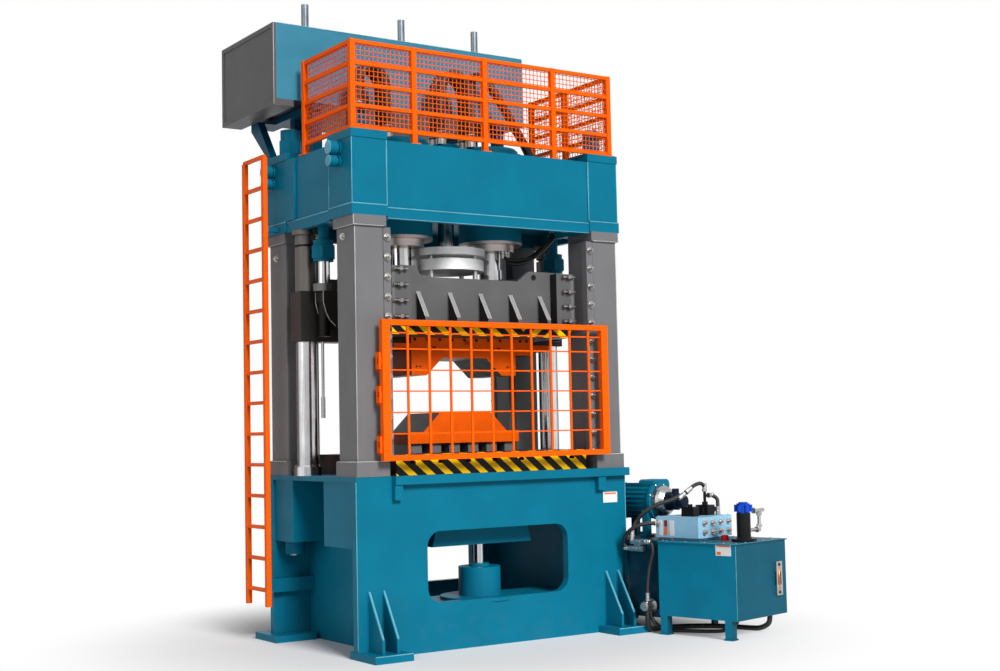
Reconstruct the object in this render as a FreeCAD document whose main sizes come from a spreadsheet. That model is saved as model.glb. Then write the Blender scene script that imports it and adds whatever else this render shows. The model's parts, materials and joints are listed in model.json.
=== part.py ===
"""Hydraulic press of the four-post frame type, with a top prefill tank and a power unit beside it.

Millimetres. X runs to the right, Y to the back and Z up. The origin lies on the floor under the
middle of the four posts. Every size is a cell of the sheet "Dims", and the parts are bound to it.
"""

import FreeCAD, Part
import math
import os
import re
import types

import Sketcher

os.makedirs("parts", exist_ok=True)
doc = FreeCAD.newDocument("hydraulic_press")
V = FreeCAD.Vector

# ---------------------------------------------------------------- driving dimensions
DIMENSIONS = {
    # posts and the tie rods inside them
    "post_out_x": 1482, "post_out_y": 875, "post_wide": 293, "post_deep": 346,
    "post_soft": 8, "collar_lip": 22, "foot_collar_high": 137, "cap_collar_high": 95,
    "tie_rod_dia": 110, "tie_bore_gap": 3, "tie_nut_dia": 206, "tie_nut_high": 273,
    "front_nut_dia": 163, "washer_lip": 16,
    "low_nut_dia": 190, "low_nut_high": 130, "rod_end": 12,
    # base
    "base_half": 1513, "base_depth_half": 891, "deck_top": 1594, "deck_thick": 45,
    "plate_thick": 80, "web_out": 1120, "web_thick": 40, "box_inset": 23,
    "box_bottom": 960, "front_box_end": 225, "rear_box_start": 415,
    "window_half": 789, "window_low": 435, "window_high": 1080, "window_round": 138,
    "shelf_low": 350, "shelf_high": 400, "shelf_back": 120, "web_hole": 560,
    "foot_thick": 65, "foot_out": 1522, "foot_wide": 382, "foot_front": 1216, "foot_back": 758,
    "rear_foot_out": 1600, "rear_foot_wide": 430, "rear_foot_in": 590, "rear_foot_end": 1057,
    "gusset_thick": 28, "gusset_one": 1247, "gusset_two": 1395, "gusset_high": 590,
    "gusset_knee": 185, "gusset_reach": 247, "rear_gusset_high": 340, "rear_gusset_reach": 130,
    "anchor_dia": 42, "anchor_x": 1321, "anchor_y": 1005,
    "side_bar_low": 470, "side_bar_high": 600, "side_bar_end": 1600, "side_bar_deep": 100,
    # front apron and work table
    "apron_proud": 77, "apron_left": 1150, "apron_right": 1514, "apron_high": 78,
    "table_half": 1073, "table_front": 843, "table_top": 1783,
    "slot_wide": 36, "slot_deep": 60, "slot_foot_wide": 60, "slot_foot_high": 26,
    "slot_pitch": 300, "riser_wide": 120, "riser_pitch": 215, "bracket_low": 1381,
    "bracket_wide": 82, "bracket_deep": 60,
    # crown
    "crown_bottom": 3939, "crown_roof": 4641, "roof_drop": 6, "crown_recess": 121,
    "skirt_thick": 60, "corner_in_x": 1149, "corner_in_y": 442, "crown_half": 1508,
    "crown_deep_half": 887, "panel_step": 10, "side_drop": 10,
    "cap_high": 76, "cap_lip": 8, "band_high": 99, "band_lip": 10, "band_drop": 20,
    "rib_start": 257, "rib_end": 475, "rib_proud": 12,
    "boss_big_dia": 130, "boss_small_dia": 108, "boss_long": 108, "boss_socket": 54,
    "boss_high": 4570, "boss_low": 4448, "boss_y": 640, "boss_rear_y": 745, "boss_flange": 16,
    # guide rails on the posts and the shoes that run in them
    "rail_wide": 76, "rail_deep": 77, "wear_wide": 64, "wear_deep": 238,
    "rail_bottom": 1735, "rail_top": 3838,
    "rail_bolt_flat": 46, "rail_bolt_high": 22, "rail_bolt_edge": 40, "rail_washer_dia": 70,
    "rail_washer_high": 10, "rail_screw_dia": 24, "rail_bolt_first": 1768, "rail_bolt_pitch": 180,
    "shoe_low": 2990, "shoe_high": 3515, "shoe_bolt_in": 885,
    "shoe_in": 1005, "shoe_face": 1035, "shoe_front": 750, "shoe_step": 650, "shoe_back": 565,
    "run_gap": 0.3, "shoe_bolt_dia": 30, "shoe_bolt_first": 3045, "shoe_bolt_pitch": 146,
    # guide columns
    "column_x": 1417, "column_y": 235, "column_dia": 200, "column_foot_dia": 255,
    "column_foot_high": 103, "column_neck_dia": 150, "neck_low": 3765, "neck_collar": 118,
    # slide
    "slide_half": 870, "slide_front": 640, "slide_wall": 40, "slide_low": 2975,
    "slide_high": 3535, "slide_dip": 3430, "dip_round": 105, "dip_left": 592, "dip_left_top": 693,
    "dip_right": 437, "dip_right_top": 578, "lift_hole_x": 633, "lift_hole_z": 3477,
    "lift_hole_dia": 60, "slide_flange": 803, "slide_flange_thick": 40,
    "slide_deck": 3440, "slide_gusset_pitch": 348,
    "slide_gusset_high": 3300, "slide_gusset_knee": 3045, "slide_gusset_thick": 38,
    "shoe_block_front": 750, "shoe_block_in": 880, "shoe_block_out": 985,
    "lug_out": 1528, "lug_front": 124, "lug_back": 346, "lug_low": 2860, "lug_high": 3340,
    "lug_gap": 12,
    "arm_y": 80, "arm_thick": 30, "arm_cap": 105, "arm_out": 1400, "arm_in": 860,
    "arm_rise": 247, "arm_waist_x": 1372, "arm_waist_rise": 145, "arm_foot_x": 1272,
    "arm_foot_rise": 20, "arm_block_in": 1290, "gauge_rod_dia": 40, "gauge_rod_x": 1300, "gauge_rod_y": 128,
    "gauge_rod_low": 2135,
    # plate and dies
    "die_plate_half": 1035, "die_plate_front": 697, "die_plate_low": 2887,
    "die_front": 340, "die_back": 270, "upper_half": 600, "upper_low": 2525, "arch_top": 2694,
    "riser_front": 300, "riser_back": 230, "lug_bolt_dia": 34,
    "arch_top_half": 252, "arch_low_half": 432, "left_tip_out": 790, "recess_wide": 84,
    "recess_high": 34, "recess_low": 2830, "recess_deep": 30, "recess_far": 330,
    "recess_drop": 62, "lug_plate_out": 820, "lug_tip_out": 1015,
    "lug_plate_low": 2727, "lug_plate_deep": 180, "lug_tip_low": 2770, "lug_tip_high": 2830,
    "lower_half": 622, "lower_base_low": 1874, "lower_base_top": 1983, "lower_top": 2168,
    "lower_top_half": 291, "lower_slope_half": 480,
    # cylinders and rams
    "cyl_x": 530, "cyl_y": 40, "cyl_dia": 640, "cyl_low": 3873, "cyl_top": 4830,
    "ring_thick": 27, "gland_dia": 470, "gland_thick": 66, "ram_dia": 216, "ram_gap": 0.3,
    "ram_top": 4700, "ram_foot_dia": 242, "ram_foot_high": 160,
    "mid_ram_dia": 160, "mid_sleeve_dia": 184,
    "disc_dia": 770, "disc_thick": 76, "disc_low": 3700, "plate_disc_dia": 744,
    "plate_disc_thick": 108, "plate_disc_low": 3558, "hub_dia": 300,
    "stud_circle": 317, "stud_dia": 36, "stud_nut_dia": 58, "stud_nut_high": 42,
    "stud_angle": 210, "stud_gap": 6, "bore_top": 4780, "gland_low": 3780,
    # return cylinders: a fixed plunger in a barrel that moves with the slide
    "ret_x": 1345, "ret_barrel_dia": 120, "ret_barrel_top": 3760, "ret_disc_dia": 206,
    "ret_disc_thick": 71, "ret_tail_dia": 110, "ret_tail_drop": 75,
    "ret_plunger_dia": 80, "ret_plunger_low": 2930, "ret_neck_dia": 100, "ret_ring_dia": 190,
    "ret_ring_top": 3811, "ret_nut_top": 3764, "ret_nut_low": 3640, "ret_nut_flat": 212,
    "ret_foot_low": 3612, "ret_foot_dia": 192,
    # top tank
    "tank_left": 1695, "tank_right": 1175, "tank_front": 250, "tank_back": 1470,
    "tank_low": 5194, "tank_high": 5930, "cap_thick": 30, "cap_drop": 65, "cap_tray": 180,
    "cap_rim": 45, "cap_sink": 8, "vent_dia": 74, "vent_high": 295, "vent_y": 500,
    "vent_bore": 60, "vent_left": 1259, "vent_mid": 162, "vent_right": 735,
    "leg_wide": 100, "leg_x_left": 1240, "leg_rear_in": 50, "leg_x_right": 900, "leg_y": 345,
    "strut_foot_y": 838, "strut_head_y": 1180, "strut_x": 1463, "strut_right_x": 1080,
    "strut_wide": 78, "strut_over": 60, "sill_lip": 14, "leg_rear_y": 845,
    # fence round the platform
    "fence_x": 1464, "fence_y": 827, "hole_gap": 4, "sheet_thick": 4,
    "hole_high": 74, "fence_post": 50, "fence_low": 4728, "fence_high": 5543,
    "fence_rail": 34, "fence_side_end": 111, "fence_right_end": 500,
    "fence_post_two": 820, "fence_post_three": 33, "fence_post_four": 771,
    "wire_dia": 12, "net_pitch": 98, "fence_foot": 96, "fence_foot_thick": 10,
    # ladder
    "ladder_gap": 134, "ladder_front": 615, "ladder_back": 1109, "ladder_rail": 48,
    "ladder_low": 345, "ladder_high": 4690, "rung_pitch": 300, "rung_first": 499, "rung_dia": 34,
    "ladder_tie": 40,
    # swing gate
    "gate_left": 1295, "gate_right": 1243, "gate_low": 1731, "gate_high": 2992,
    "gate_front": 1017, "gate_thick": 57, "gate_stile": 80, "gate_rail": 50,
    "gate_cross_low": 1971, "gate_cross_pitch": 190,
    "gate_cross_top": 2876, "bar_wide": 22, "bar_thick": 12, "gate_bar_first": 1024, "gate_bar_pitch": 226.6,
    "hinge_plate": 20, "hinge_x": 1309, "hinge_y": 990, "knuckle_dia": 24, "pin_dia": 12,
    "pin_gap": 0.05, "strap_front": 952, "strap_in": 1215,
    "knuckle_high": 50, "hinge_top": 2547, "hinge_mid": 2246, "hinge_low": 1802,
    # ejector in the base, forward of the middle
    "eject_y": 530, "eject_dia": 402, "eject_top": 700, "eject_flange_dia": 758,
    "eject_flange_high": 30, "eject_flat": 800, "eject_rod_dia": 102, "eject_rod_low": 440,
    "eject_gland_dia": 190, "eject_gland_high": 28, "beam_half": 560, "beam_taper": 40,
    "beam_low": 910, "beam_high": 1060, "beam_front": 600, "beam_back": 460,
    # power unit, in its own frame u to the right, v to the back
    "unit_x": 1692, "unit_y": -2263, "unit_turn": 13,
    "unit_wide": 845, "unit_long": 889, "unit_low": 180, "unit_high": 888, "unit_wall": 6,
    "unit_leg": 78, "unit_leg_thick": 10, "unit_pad_thick": 14, "leg_set_back": 64,
    "bench_recess": 30, "wall_thin": 5, "fin_pitch": 42, "fin_thick": 7,
    "motor_foot_x": 140, "pipe_reach": 200, "bench_inset": 60, "bench_end": 1880,
    "bench_low": 150, "bench_turn": 1350, "bench_step": 280, "bench_nose": 150,
    "top_lip": 14, "top_thick": 10,
    "motor_u": 535, "motor_z": 1240, "motor_dia": 334, "motor_start": 1250, "motor_long": 490,
    "shield_dia": 374, "shield_thick": 34, "fin_high": 14, "cowl_long": 130,
    "term_wide": 270, "term_long": 190, "term_high": 50, "term_side": 55, "term_soft": 42,
    "motor_foot": 66,
    "bell_dia": 312, "bell_small": 210, "bell_long": 120, "pump_dia": 170, "pump_long": 190,
    "fan_dia": 330, "fan_hub_dia": 60, "shaft_dia": 48,
    "box_u": 200, "box_v": 540, "box_wide": 560, "box_long": 525, "box_low": 908,
    "box_high": 1108, "port_dia": 34, "port_long": 34, "port_pitch": 135,
    "valve_u": 560, "valve_v": 690, "valve_wide": 120, "valve_high": 100,
    "filter_u": 349, "filter_v": 134, "filter_flange_dia": 236, "filter_flange_high": 28,
    "filter_dia": 132, "filter_high": 240, "filter_cap_dia": 172, "filter_cap_high": 90,
    "filler_u": 374, "filler_v": 369, "filler_dia": 74, "filler_high": 52,
    "gauge_u": 642, "gauge_low": 362, "gauge_high": 682, "gauge_wide": 98, "gauge_deep": 26,
    "port_v": 1022, "port_z": 262, "suction_dia": 130, "suction_out": 126,
    "suction_rim_dia": 64, "tee_low": 1318, "tee_reach": 60, "tee_top": 1338,
    "pipe_high": 873, "pipe_low": 805, "pipe_start": 1066, "pipe_end": 1226, "pipe_u": 12,
    "pipe_dia": 40,
    "hose_thin": 36, "hose_thick": 50, "hose_press": 38, "hose_fill": 92, "hose_droop": 34,
    "arch_gap": 76, "stub_high": 70, "arch_one_left": 1010, "arch_one_right": 690,
    "arch_one_top": 5545, "arch_two_left": 82, "arch_two_right": 268, "arch_two_top": 5585,
    "relief_u": 370, "relief_wide": 96, "relief_top": 1225, "valve_mid": 762,
}

sheet = doc.addObject("Spreadsheet::Sheet", "Dims")
for row, (alias, length) in enumerate(DIMENSIONS.items(), start=1):
    sheet.set(f"A{row}", alias)
    sheet.set(f"B{row}", str(length))
    sheet.setAlias(f"B{row}", alias)
doc.recompute()
SIZE = types.SimpleNamespace(**{alias: float(sheet.get(alias)) for alias in DIMENSIONS})
NODES = {}


# ---------------------------------------------------------------- helpers
def bound(expression):
    """An expression of sheet aliases, with the sheet's name put before each of them."""
    def name(found):
        return "Dims." + found.group(0) if found.group(0) in DIMENSIONS else found.group(0)
    return re.sub(r"[a-z]+(?:_[a-z]+)*", name, str(expression))


def move(thing, x=0, y=0, z=0):
    """Binds the place of an object."""
    for axis, expression in (("x", x), ("y", y), ("z", z)):
        thing.setExpression(f"Placement.Base.{axis}", bound(expression))
    return thing


def block(name, x, y, z):
    """A box between two expressions along each axis."""
    box = doc.addObject("Part::Box", name)
    for side, (low, high) in (("Length", x), ("Width", y), ("Height", z)):
        box.setExpression(side, bound(f"({high}) - ({low})"))
    return move(box, x[0], y[0], z[0])


TURN = {"x": FreeCAD.Rotation(V(0, 1, 0), 90), "y": FreeCAD.Rotation(V(-1, 0, 0), 90),
        "z": FreeCAD.Rotation()}


def rod(name, diameter, x, y, z, long, axis="z"):
    """A cylinder that starts at x, y, z and runs along an axis."""
    round_bar = doc.addObject("Part::Cylinder", name)
    round_bar.setExpression("Radius", bound(f"({diameter}) / 2"))
    round_bar.setExpression("Height", bound(long))
    round_bar.Placement = FreeCAD.Placement(V(), TURN[axis])
    return move(round_bar, x, y, z)


def nut(name, flats, x, y, z, long, axis="z"):
    """A hexagon across its flats, which starts at x, y, z and runs along an axis."""
    hexagon = doc.addObject("Part::Prism", name)
    hexagon.Polygon = 6
    hexagon.setExpression("Circumradius", bound(f"({flats}) / sqrt(3)"))
    hexagon.setExpression("Height", bound(long))
    hexagon.Placement = FreeCAD.Placement(V(), TURN[axis])
    return move(hexagon, x, y, z)


def fuse(name, *pieces):
    union = doc.addObject("Part::MultiFuse", name)
    union.Shapes = list(pieces)
    union.Refine = True
    return union


def cut(name, base, *tools):
    """A base less its tools; several tools are gathered in one compound or union first."""
    result = doc.addObject("Part::Cut", name)
    result.Base = base
    result.Tool = tools[0] if len(tools) == 1 else fuse(name + "_tools", *tools)
    return result


def gather(name, *pieces):
    """Pieces that don't touch, kept as separate solids of one object."""
    group = doc.addObject("Part::Compound", name)
    group.Links = list(pieces)
    return group


def mirror(name, source, normal):
    image = doc.addObject("Part::Mirroring", name)
    image.Source = source
    image.Normal = normal
    return image


def both(name, source, normal=V(1, 0, 0)):
    """A piece and its mirror image."""
    return [source, mirror(name + "_image", source, normal)]


def four(name, source):
    """A piece and its images at the left, at the back and at both."""
    left = mirror(name + "_left", source, V(1, 0, 0))
    back = mirror(name + "_back", source, V(0, 1, 0))
    return [source, left, back, mirror(name + "_left_back", left, V(0, 1, 0))]


def sketch(body, role, points, offset):
    """A closed outline on one of the body's own planes, each corner bound to the sheet."""
    outline = body.newObject("Sketcher::SketchObject", body.Name + "_outline")
    for feature in body.Origin.OriginFeatures:
        if feature.Role == role:
            outline.AttachmentSupport = [(feature, "")]
    outline.MapMode = "FlatFace"
    outline.setExpression("AttachmentOffset.Base.z", bound(offset))
    corners = len(points)
    spots = [V(at * 10.0, (at * at) % 7 * 10.0, 0) for at in range(corners)]
    for at in range(corners):
        outline.addGeometry(Part.LineSegment(spots[at], spots[(at + 1) % corners]), False)
    for at in range(corners):
        outline.addConstraint(Sketcher.Constraint("Coincident", at, 2, (at + 1) % corners, 1))
    for at, point in enumerate(points):
        for kind, expression in zip(("DistanceX", "DistanceY"), point):
            index = outline.addConstraint(Sketcher.Constraint(kind, -1, 1, at, 1, 5.0))
            outline.setExpression(f"Constraints[{index}]", bound(expression))
    return outline


def pad(name, role, points, offset, length):
    body = doc.addObject("PartDesign::Body", name)
    outline = sketch(body, role, points, offset)
    plate = body.newObject("PartDesign::Pad", name + "_pad")
    plate.Profile = outline
    plate.setExpression("Length", bound(length))
    return body


def wall(name, points, front, back):
    """An outline in X and Z, padded from y = front to y = back."""
    return pad(name, "XZ_Plane", points, f"-({back})", f"({back}) - ({front})")


def side(name, points, left, right):
    """An outline in Y and Z, padded from x = left to x = right."""
    return pad(name, "YZ_Plane", points, left, f"({right}) - ({left})")


def slab(name, points, low, high):
    """An outline in X and Y, padded from z = low to z = high."""
    return pad(name, "XY_Plane", points, low, f"({high}) - ({low})")


def turned(name, points, x=0, y=0, z=0, axis="z"):
    """A half outline of radius and height, revolved about the upright axis and put in place."""
    body = doc.addObject("PartDesign::Body", name)
    outline = sketch(body, "XZ_Plane", points, 0)
    spin = body.newObject("PartDesign::Revolution", name + "_spin")
    spin.Profile = outline
    spin.ReferenceAxis = (outline, ["V_Axis"])
    spin.Angle = 360.0
    body.Placement = FreeCAD.Placement(V(), TURN[axis])
    return move(body, x, y, z)


def soften(body, direction, radius, kind="PartDesign::Fillet"):
    """Rounds or bevels the edges of a body that run along one direction."""
    body.recompute(True)
    tip = body.Tip
    names = []
    for number, edge in enumerate(tip.Shape.Edges, start=1):
        if len(edge.Vertexes) == 2:
            run = (edge.Vertexes[1].Point - edge.Vertexes[0].Point).normalize()
            if abs(run.dot(direction)) > 0.999:
                names.append(f"Edge{number}")
    feature = body.newObject(kind, body.Name + "_soft")
    feature.Base = (tip, names)
    feature.setExpression("Radius" if kind.endswith("Fillet") else "Size", bound(radius))
    return body


def hose(name, points, diameter):
    """A round hose along straight runs that tangent arcs join, each as large as its runs allow."""
    lengths = [(b - a).Length for a, b in zip(points, points[1:])]
    edges = []
    start = points[0]
    radii = []
    for before, corner, after, near, far in zip(points, points[1:], points[2:],
                                                lengths, lengths[1:]):
        back = (before - corner).normalize()
        ahead = (after - corner).normalize()
        half_turn = (math.pi - back.getAngle(ahead)) / 2
        setback = 0.45 * min(near, far)
        radius = setback / math.tan(half_turn)
        radii.append(radius)
        enter = corner + back * setback
        leave = corner + ahead * setback
        middle = (back + ahead).normalize()
        centre = corner + middle * (radius / math.cos(half_turn))
        edges.append(Part.LineSegment(start, enter).toShape())
        edges.append(Part.Arc(enter, centre - middle * radius, leave).toShape())
        start = leave
    edges.append(Part.LineSegment(start, points[-1]).toShape())
    path = Part.Wire(edges)
    ring = Part.Wire([Part.makeCircle(diameter / 2, points[0], points[1] - points[0])])
    tube = path.makePipeShell([ring], True, False)
    expected = math.pi * diameter ** 2 / 4 * path.Length
    print(name, "radii in diameters", [round(radius / diameter, 1) for radius in radii],
          "volume ratio", round(abs(tube.Volume) / expected, 4))
    return tube


def node(label, thing):
    """Names a sub-part; its label is the name of its file."""
    thing.Label = label
    NODES[label] = thing
    return thing


def unit_node(label, piece):
    """A sub-part of the power unit, turned and set down beside the press."""
    thing = gather(label, piece)
    thing.Placement = FreeCAD.Placement(V(), FreeCAD.Rotation(V(0, 0, 1), SIZE.unit_turn))
    thing.setExpression("Placement.Rotation.Angle", bound("unit_turn"))
    move(thing, "unit_x", "unit_y", 0)
    return node(label, thing)


ROD_X = "post_out_x - post_wide / 2"
ROD_Y = "post_out_y - post_deep / 2"

# ---------------------------------------------------------------- base
# The press stands on two thick plates with a rounded window, two webs and a deck.
window = wall("window", [("-window_half", "window_low"), ("window_half", "window_low"),
                         ("window_half", "window_high"), ("-window_half", "window_high")],
              "-base_depth_half - rod_end", "base_depth_half + rod_end")
soften(window, V(0, 1, 0), "window_round")
plates = [
    block("front_plate", ("-base_half", "base_half"),
          ("-base_depth_half", "plate_thick - base_depth_half"), (0, "deck_top - deck_thick")),
    block("rear_plate", ("-base_half", "base_half"),
          ("base_depth_half - plate_thick", "base_depth_half"), (0, "deck_top - deck_thick")),
]
windowed = [cut(plate.Name + "_cut", plate, window) for plate in plates]
IN_Y = "base_depth_half - plate_thick"
web = both("web", block("web", ("web_out - web_thick", "web_out"), (f"-({IN_Y})", IN_Y),
                        (0, "deck_top - deck_thick")))
deck = block("deck", ("-base_half", "base_half"), ("-base_depth_half", "base_depth_half"),
             ("deck_top - deck_thick", "deck_top"))
front_box = both("front_box", block("front_box", ("web_out", "base_half - box_inset"),
                                    (f"-({IN_Y})", "-front_box_end"),
                                    ("box_bottom", "deck_top - deck_thick")))
rear_box = both("rear_box", block("rear_box", ("web_out", "base_half - box_inset"),
                                  ("rear_box_start", IN_Y),
                                  ("box_bottom", "deck_top - deck_thick")))
shelf = block("shelf", ("web_thick - web_out", "web_out - web_thick"),
              (f"-({IN_Y})", "-shelf_back"), ("shelf_low", "shelf_high"))
front_foot = both("front_foot", block("front_foot", ("foot_out - foot_wide", "foot_out"),
                                      ("-foot_front", "-foot_back"), (0, "foot_thick")))
rear_foot = both("rear_foot", block("rear_foot",
                                    ("rear_foot_out - rear_foot_wide", "rear_foot_out"),
                                    ("rear_foot_in", "rear_foot_end"), (0, "foot_thick")))
GUSSET = [("-base_depth_half + rod_end", "foot_thick"),
          ("-base_depth_half - gusset_reach", "foot_thick"),
          ("-base_depth_half - gusset_reach", "gusset_knee"),
          ("-base_depth_half", "gusset_high"), ("-base_depth_half + rod_end", "gusset_high")]
REAR_GUSSET = [("base_depth_half - rod_end", "foot_thick"),
               ("base_depth_half + rear_gusset_reach", "foot_thick"),
               ("base_depth_half + rear_gusset_reach", "gusset_knee"),
               ("base_depth_half", "rear_gusset_high"),
               ("base_depth_half - rod_end", "rear_gusset_high")]
gussets = []
for row in ("gusset_one", "gusset_two"):
    for end, outline in (("front", GUSSET), ("rear", REAR_GUSSET)):
        plate = side(f"{end}_{row}", outline, f"{row} - gusset_thick / 2",
                     f"{row} + gusset_thick / 2")
        gussets += both(plate.Name, plate)
side_bar = block("side_bar", ("-side_bar_end", "-web_out"), (f"{IN_Y} - side_bar_deep", IN_Y),
                 ("side_bar_low", "side_bar_high"))
bar_end = block("bar_end", ("-side_bar_end", "-side_bar_end + gusset_thick"),
                (f"{IN_Y} - side_bar_deep - rod_end", IN_Y), ("side_bar_low - rod_end",
                                                             "side_bar_high + rod_end"))
BORE = "tie_rod_dia + 2 * tie_bore_gap"
base_bores = four("base_bore", rod("base_bore", BORE, ROD_X, ROD_Y, "box_bottom - low_nut_high",
                                   "deck_top"))
anchor_holes = four("anchor_hole", rod("anchor_hole", "anchor_dia", "anchor_x", "anchor_y",
                                       "-rod_end", "foot_thick + 2 * rod_end"))
node("base", cut("base", fuse("base_weldment", *windowed, *web, deck, *front_box, *rear_box,
                              shelf, *front_foot, *rear_foot, *gussets, side_bar, bar_end),
                 *base_bores, *anchor_holes))

# The apron is a proud ledge along the front edge of the deck, carried by two brackets.
APRON_Y = ("-base_depth_half - apron_proud", "-base_depth_half")
ledge = block("ledge", ("-apron_left", "apron_right"), APRON_Y,
              ("deck_top - apron_high", "deck_top"))
left_bracket = block("left_bracket", ("-apron_left", "bracket_wide - apron_left"),
                     ("-base_depth_half - bracket_deep", "-base_depth_half"),
                     ("bracket_low", "deck_top - apron_high"))
right_bracket = block("right_bracket", ("apron_left - rod_end", "apron_left + bracket_wide"),
                      ("-base_depth_half - bracket_deep", "-base_depth_half"),
                      ("bracket_low", "deck_top - apron_high"))
node("apron", fuse("apron", ledge, left_bracket, right_bracket))

# Work table with T-slots from front to back, and the blocks that carry the lower die.
table = block("table", ("-table_half", "table_half"), ("-table_front", "table_front"),
              ("deck_top", "table_top"))
slots = []
for step in range(-3, 4):
    middle = f"{step} * slot_pitch"
    length = ("-table_front - rod_end", "table_front + rod_end")
    slots.append(block(f"slot_{step + 3}", (f"{middle} - slot_wide / 2",
                                            f"{middle} + slot_wide / 2"), length,
                       ("table_top - slot_deep", "table_top + rod_end")))
    slots.append(block(f"slot_foot_{step + 3}", (f"{middle} - slot_foot_wide / 2",
                                                 f"{middle} + slot_foot_wide / 2"), length,
                       ("table_top - slot_deep - slot_foot_high", "table_top - slot_deep")))
node("bolster", cut("bolster", table, *slots))
risers = []
for step in range(6):
    middle = f"{step - 2.5} * riser_pitch"
    risers.append(block(f"riser_{step}", (f"{middle} - riser_wide / 2",
                                          f"{middle} + riser_wide / 2"),
                        ("-riser_front", "riser_back"), ("table_top", "lower_base_low")))
node("riser_blocks", gather("riser_blocks", *risers))
node("lower_die", wall("lower_die", [
    ("-lower_half", "lower_base_low"), ("lower_half", "lower_base_low"),
    ("lower_half", "lower_base_top"), ("lower_slope_half", "lower_base_top"),
    ("lower_top_half", "lower_top"), ("-lower_top_half", "lower_top"),
    ("-lower_slope_half", "lower_base_top"), ("-lower_half", "lower_base_top")],
    "-die_front", "die_back"))

# ---------------------------------------------------------------- posts, tie rods and nuts
# Each post is a square column with a proud collar at its foot and one under the crown.
for label, across, along in (("post_front_left", -1, -1), ("post_front_right", 1, -1),
                             ("post_rear_left", -1, 1), ("post_rear_right", 1, 1)):
    spans = []
    for sign, out, wide in ((across, "post_out_x", "post_wide"), (along, "post_out_y",
                                                                  "post_deep")):
        spans.append((f"{out} - {wide}", out) if sign > 0 else (f"-{out}", f"{wide} - {out}"))
    (left, right), (front, back) = spans
    shaft = slab(label + "_shaft", [(left, front), (right, front), (right, back),
                                    (left, back)], "deck_top", "crown_bottom")
    soften(shaft, V(0, 0, 1), "post_soft", "PartDesign::Chamfer")
    collars = []
    for place, low, high in (("foot", "deck_top", "deck_top + foot_collar_high"),
                             ("cap", "crown_bottom - cap_collar_high", "crown_bottom")):
        collars.append(block(f"{label}_{place}", (f"{left} - collar_lip", f"{right} + collar_lip"),
                             (f"{front} - collar_lip", f"{back} + collar_lip"), (low, high)))
    post_bore = rod(label + "_bore", BORE, f"{across} * ({ROD_X})", f"{along} * ({ROD_Y})",
                    "deck_top - rod_end", "crown_bottom")
    node(label, cut(label, fuse(label + "_solid", shaft, *collars), post_bore))

ROD_TOP = "crown_roof + cap_high + tie_nut_high + rod_end"
ROD_LOW = "box_bottom - low_nut_high - rod_end"
tie_rod = rod("tie_rod", "tie_rod_dia", ROD_X, ROD_Y, ROD_LOW, f"{ROD_TOP} - ({ROD_LOW})")
node("tie_rods", gather("tie_rods", *four("tie_rod", tie_rod)))
CAP_TOP = "crown_roof + cap_high"
NUT_BORE = "tie_rod_dia + 2 * run_gap"


def upper_nut(name, flats):
    """A crown nut: a washer, a hexagon and a round end, bored for the tie rod."""
    solid = fuse(name + "_solid",
                 rod(name + "_washer", f"{flats} + 2 * washer_lip", ROD_X, ROD_Y, CAP_TOP,
                     "washer_lip"),
                 nut(name + "_hex", flats, ROD_X, ROD_Y, f"{CAP_TOP} + washer_lip",
                     "tie_nut_high * 0.55"),
                 rod(name + "_barrel", f"{flats} - rod_end", ROD_X, ROD_Y, CAP_TOP,
                     "tie_nut_high"))
    return cut(name, solid, rod(name + "_hole", NUT_BORE, ROD_X, ROD_Y, ROD_LOW,
                                f"{ROD_TOP} + rod_end"))


lower_nut = rod("lower_nut_solid", "low_nut_dia", ROD_X, ROD_Y, "box_bottom - low_nut_high",
                "low_nut_high")
lower_bored = cut("lower_nut", lower_nut, rod("lower_nut_hole", NUT_BORE, ROD_X, ROD_Y, ROD_LOW,
                                              f"{ROD_TOP} + rod_end"))
rear_nut = upper_nut("rear_nut", "tie_nut_dia")
front_nut = mirror("front_nut", upper_nut("front_nut_back", "front_nut_dia"), V(0, 1, 0))
nuts = [*both("rear_nut", rear_nut), *both("front_nut", front_nut),
        *four("lower_nut", lower_bored)]
node("tie_nuts", gather("tie_nuts", *nuts))

# ---------------------------------------------------------------- crown
# A welded head: a middle that is set back and hangs a little lower, four corner blocks over the
# posts with raised caps, flange bands round the foot and a hollow underside.
HALF = "crown_half"
DEEP = "crown_deep_half"
ROOF = "crown_roof - roof_drop"
head_parts = [
    block("head_middle", ("-corner_in_x", "corner_in_x"),
          (f"panel_step - {DEEP}", f"{DEEP} - panel_step"), ("crown_bottom - band_drop", ROOF)),
    block("head_band", ("-corner_in_x", "corner_in_x"), (f"-{DEEP}", DEEP),
          ("crown_bottom - band_drop", "crown_bottom - band_drop + band_high")),
    block("head_sides", (f"panel_step - {HALF}", f"{HALF} - panel_step"),
          ("-corner_in_y", "corner_in_y"), ("crown_bottom - side_drop", ROOF)),
    block("head_side_band", (f"-{HALF}", HALF), ("-corner_in_y", "corner_in_y"),
          ("crown_bottom - side_drop", "crown_bottom - side_drop + band_high")),
]
head_parts += four("corner", block("corner", ("corner_in_x", HALF), ("corner_in_y", DEEP),
                                   ("crown_bottom", "crown_roof")))
head_parts += four("corner_band", block("corner_band", ("corner_in_x", f"{HALF} + band_lip"),
                                        ("corner_in_y", f"{DEEP} + band_lip"),
                                        ("crown_bottom", "crown_bottom + band_high")))
head_parts += four("corner_cap", block("corner_cap", ("corner_in_x - cap_lip",
                                                      f"{HALF} + cap_lip"),
                                       ("corner_in_y - cap_lip", f"{DEEP} + cap_lip"),
                                       ("crown_roof", CAP_TOP)))
head_parts += both("side_rib", block("side_rib", (f"{HALF} - 2 * panel_step",
                                                  f"{HALF} + rib_proud"),
                                     ("rib_start", "rib_end"),
                                     ("crown_bottom + band_high", ROOF)))
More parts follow.
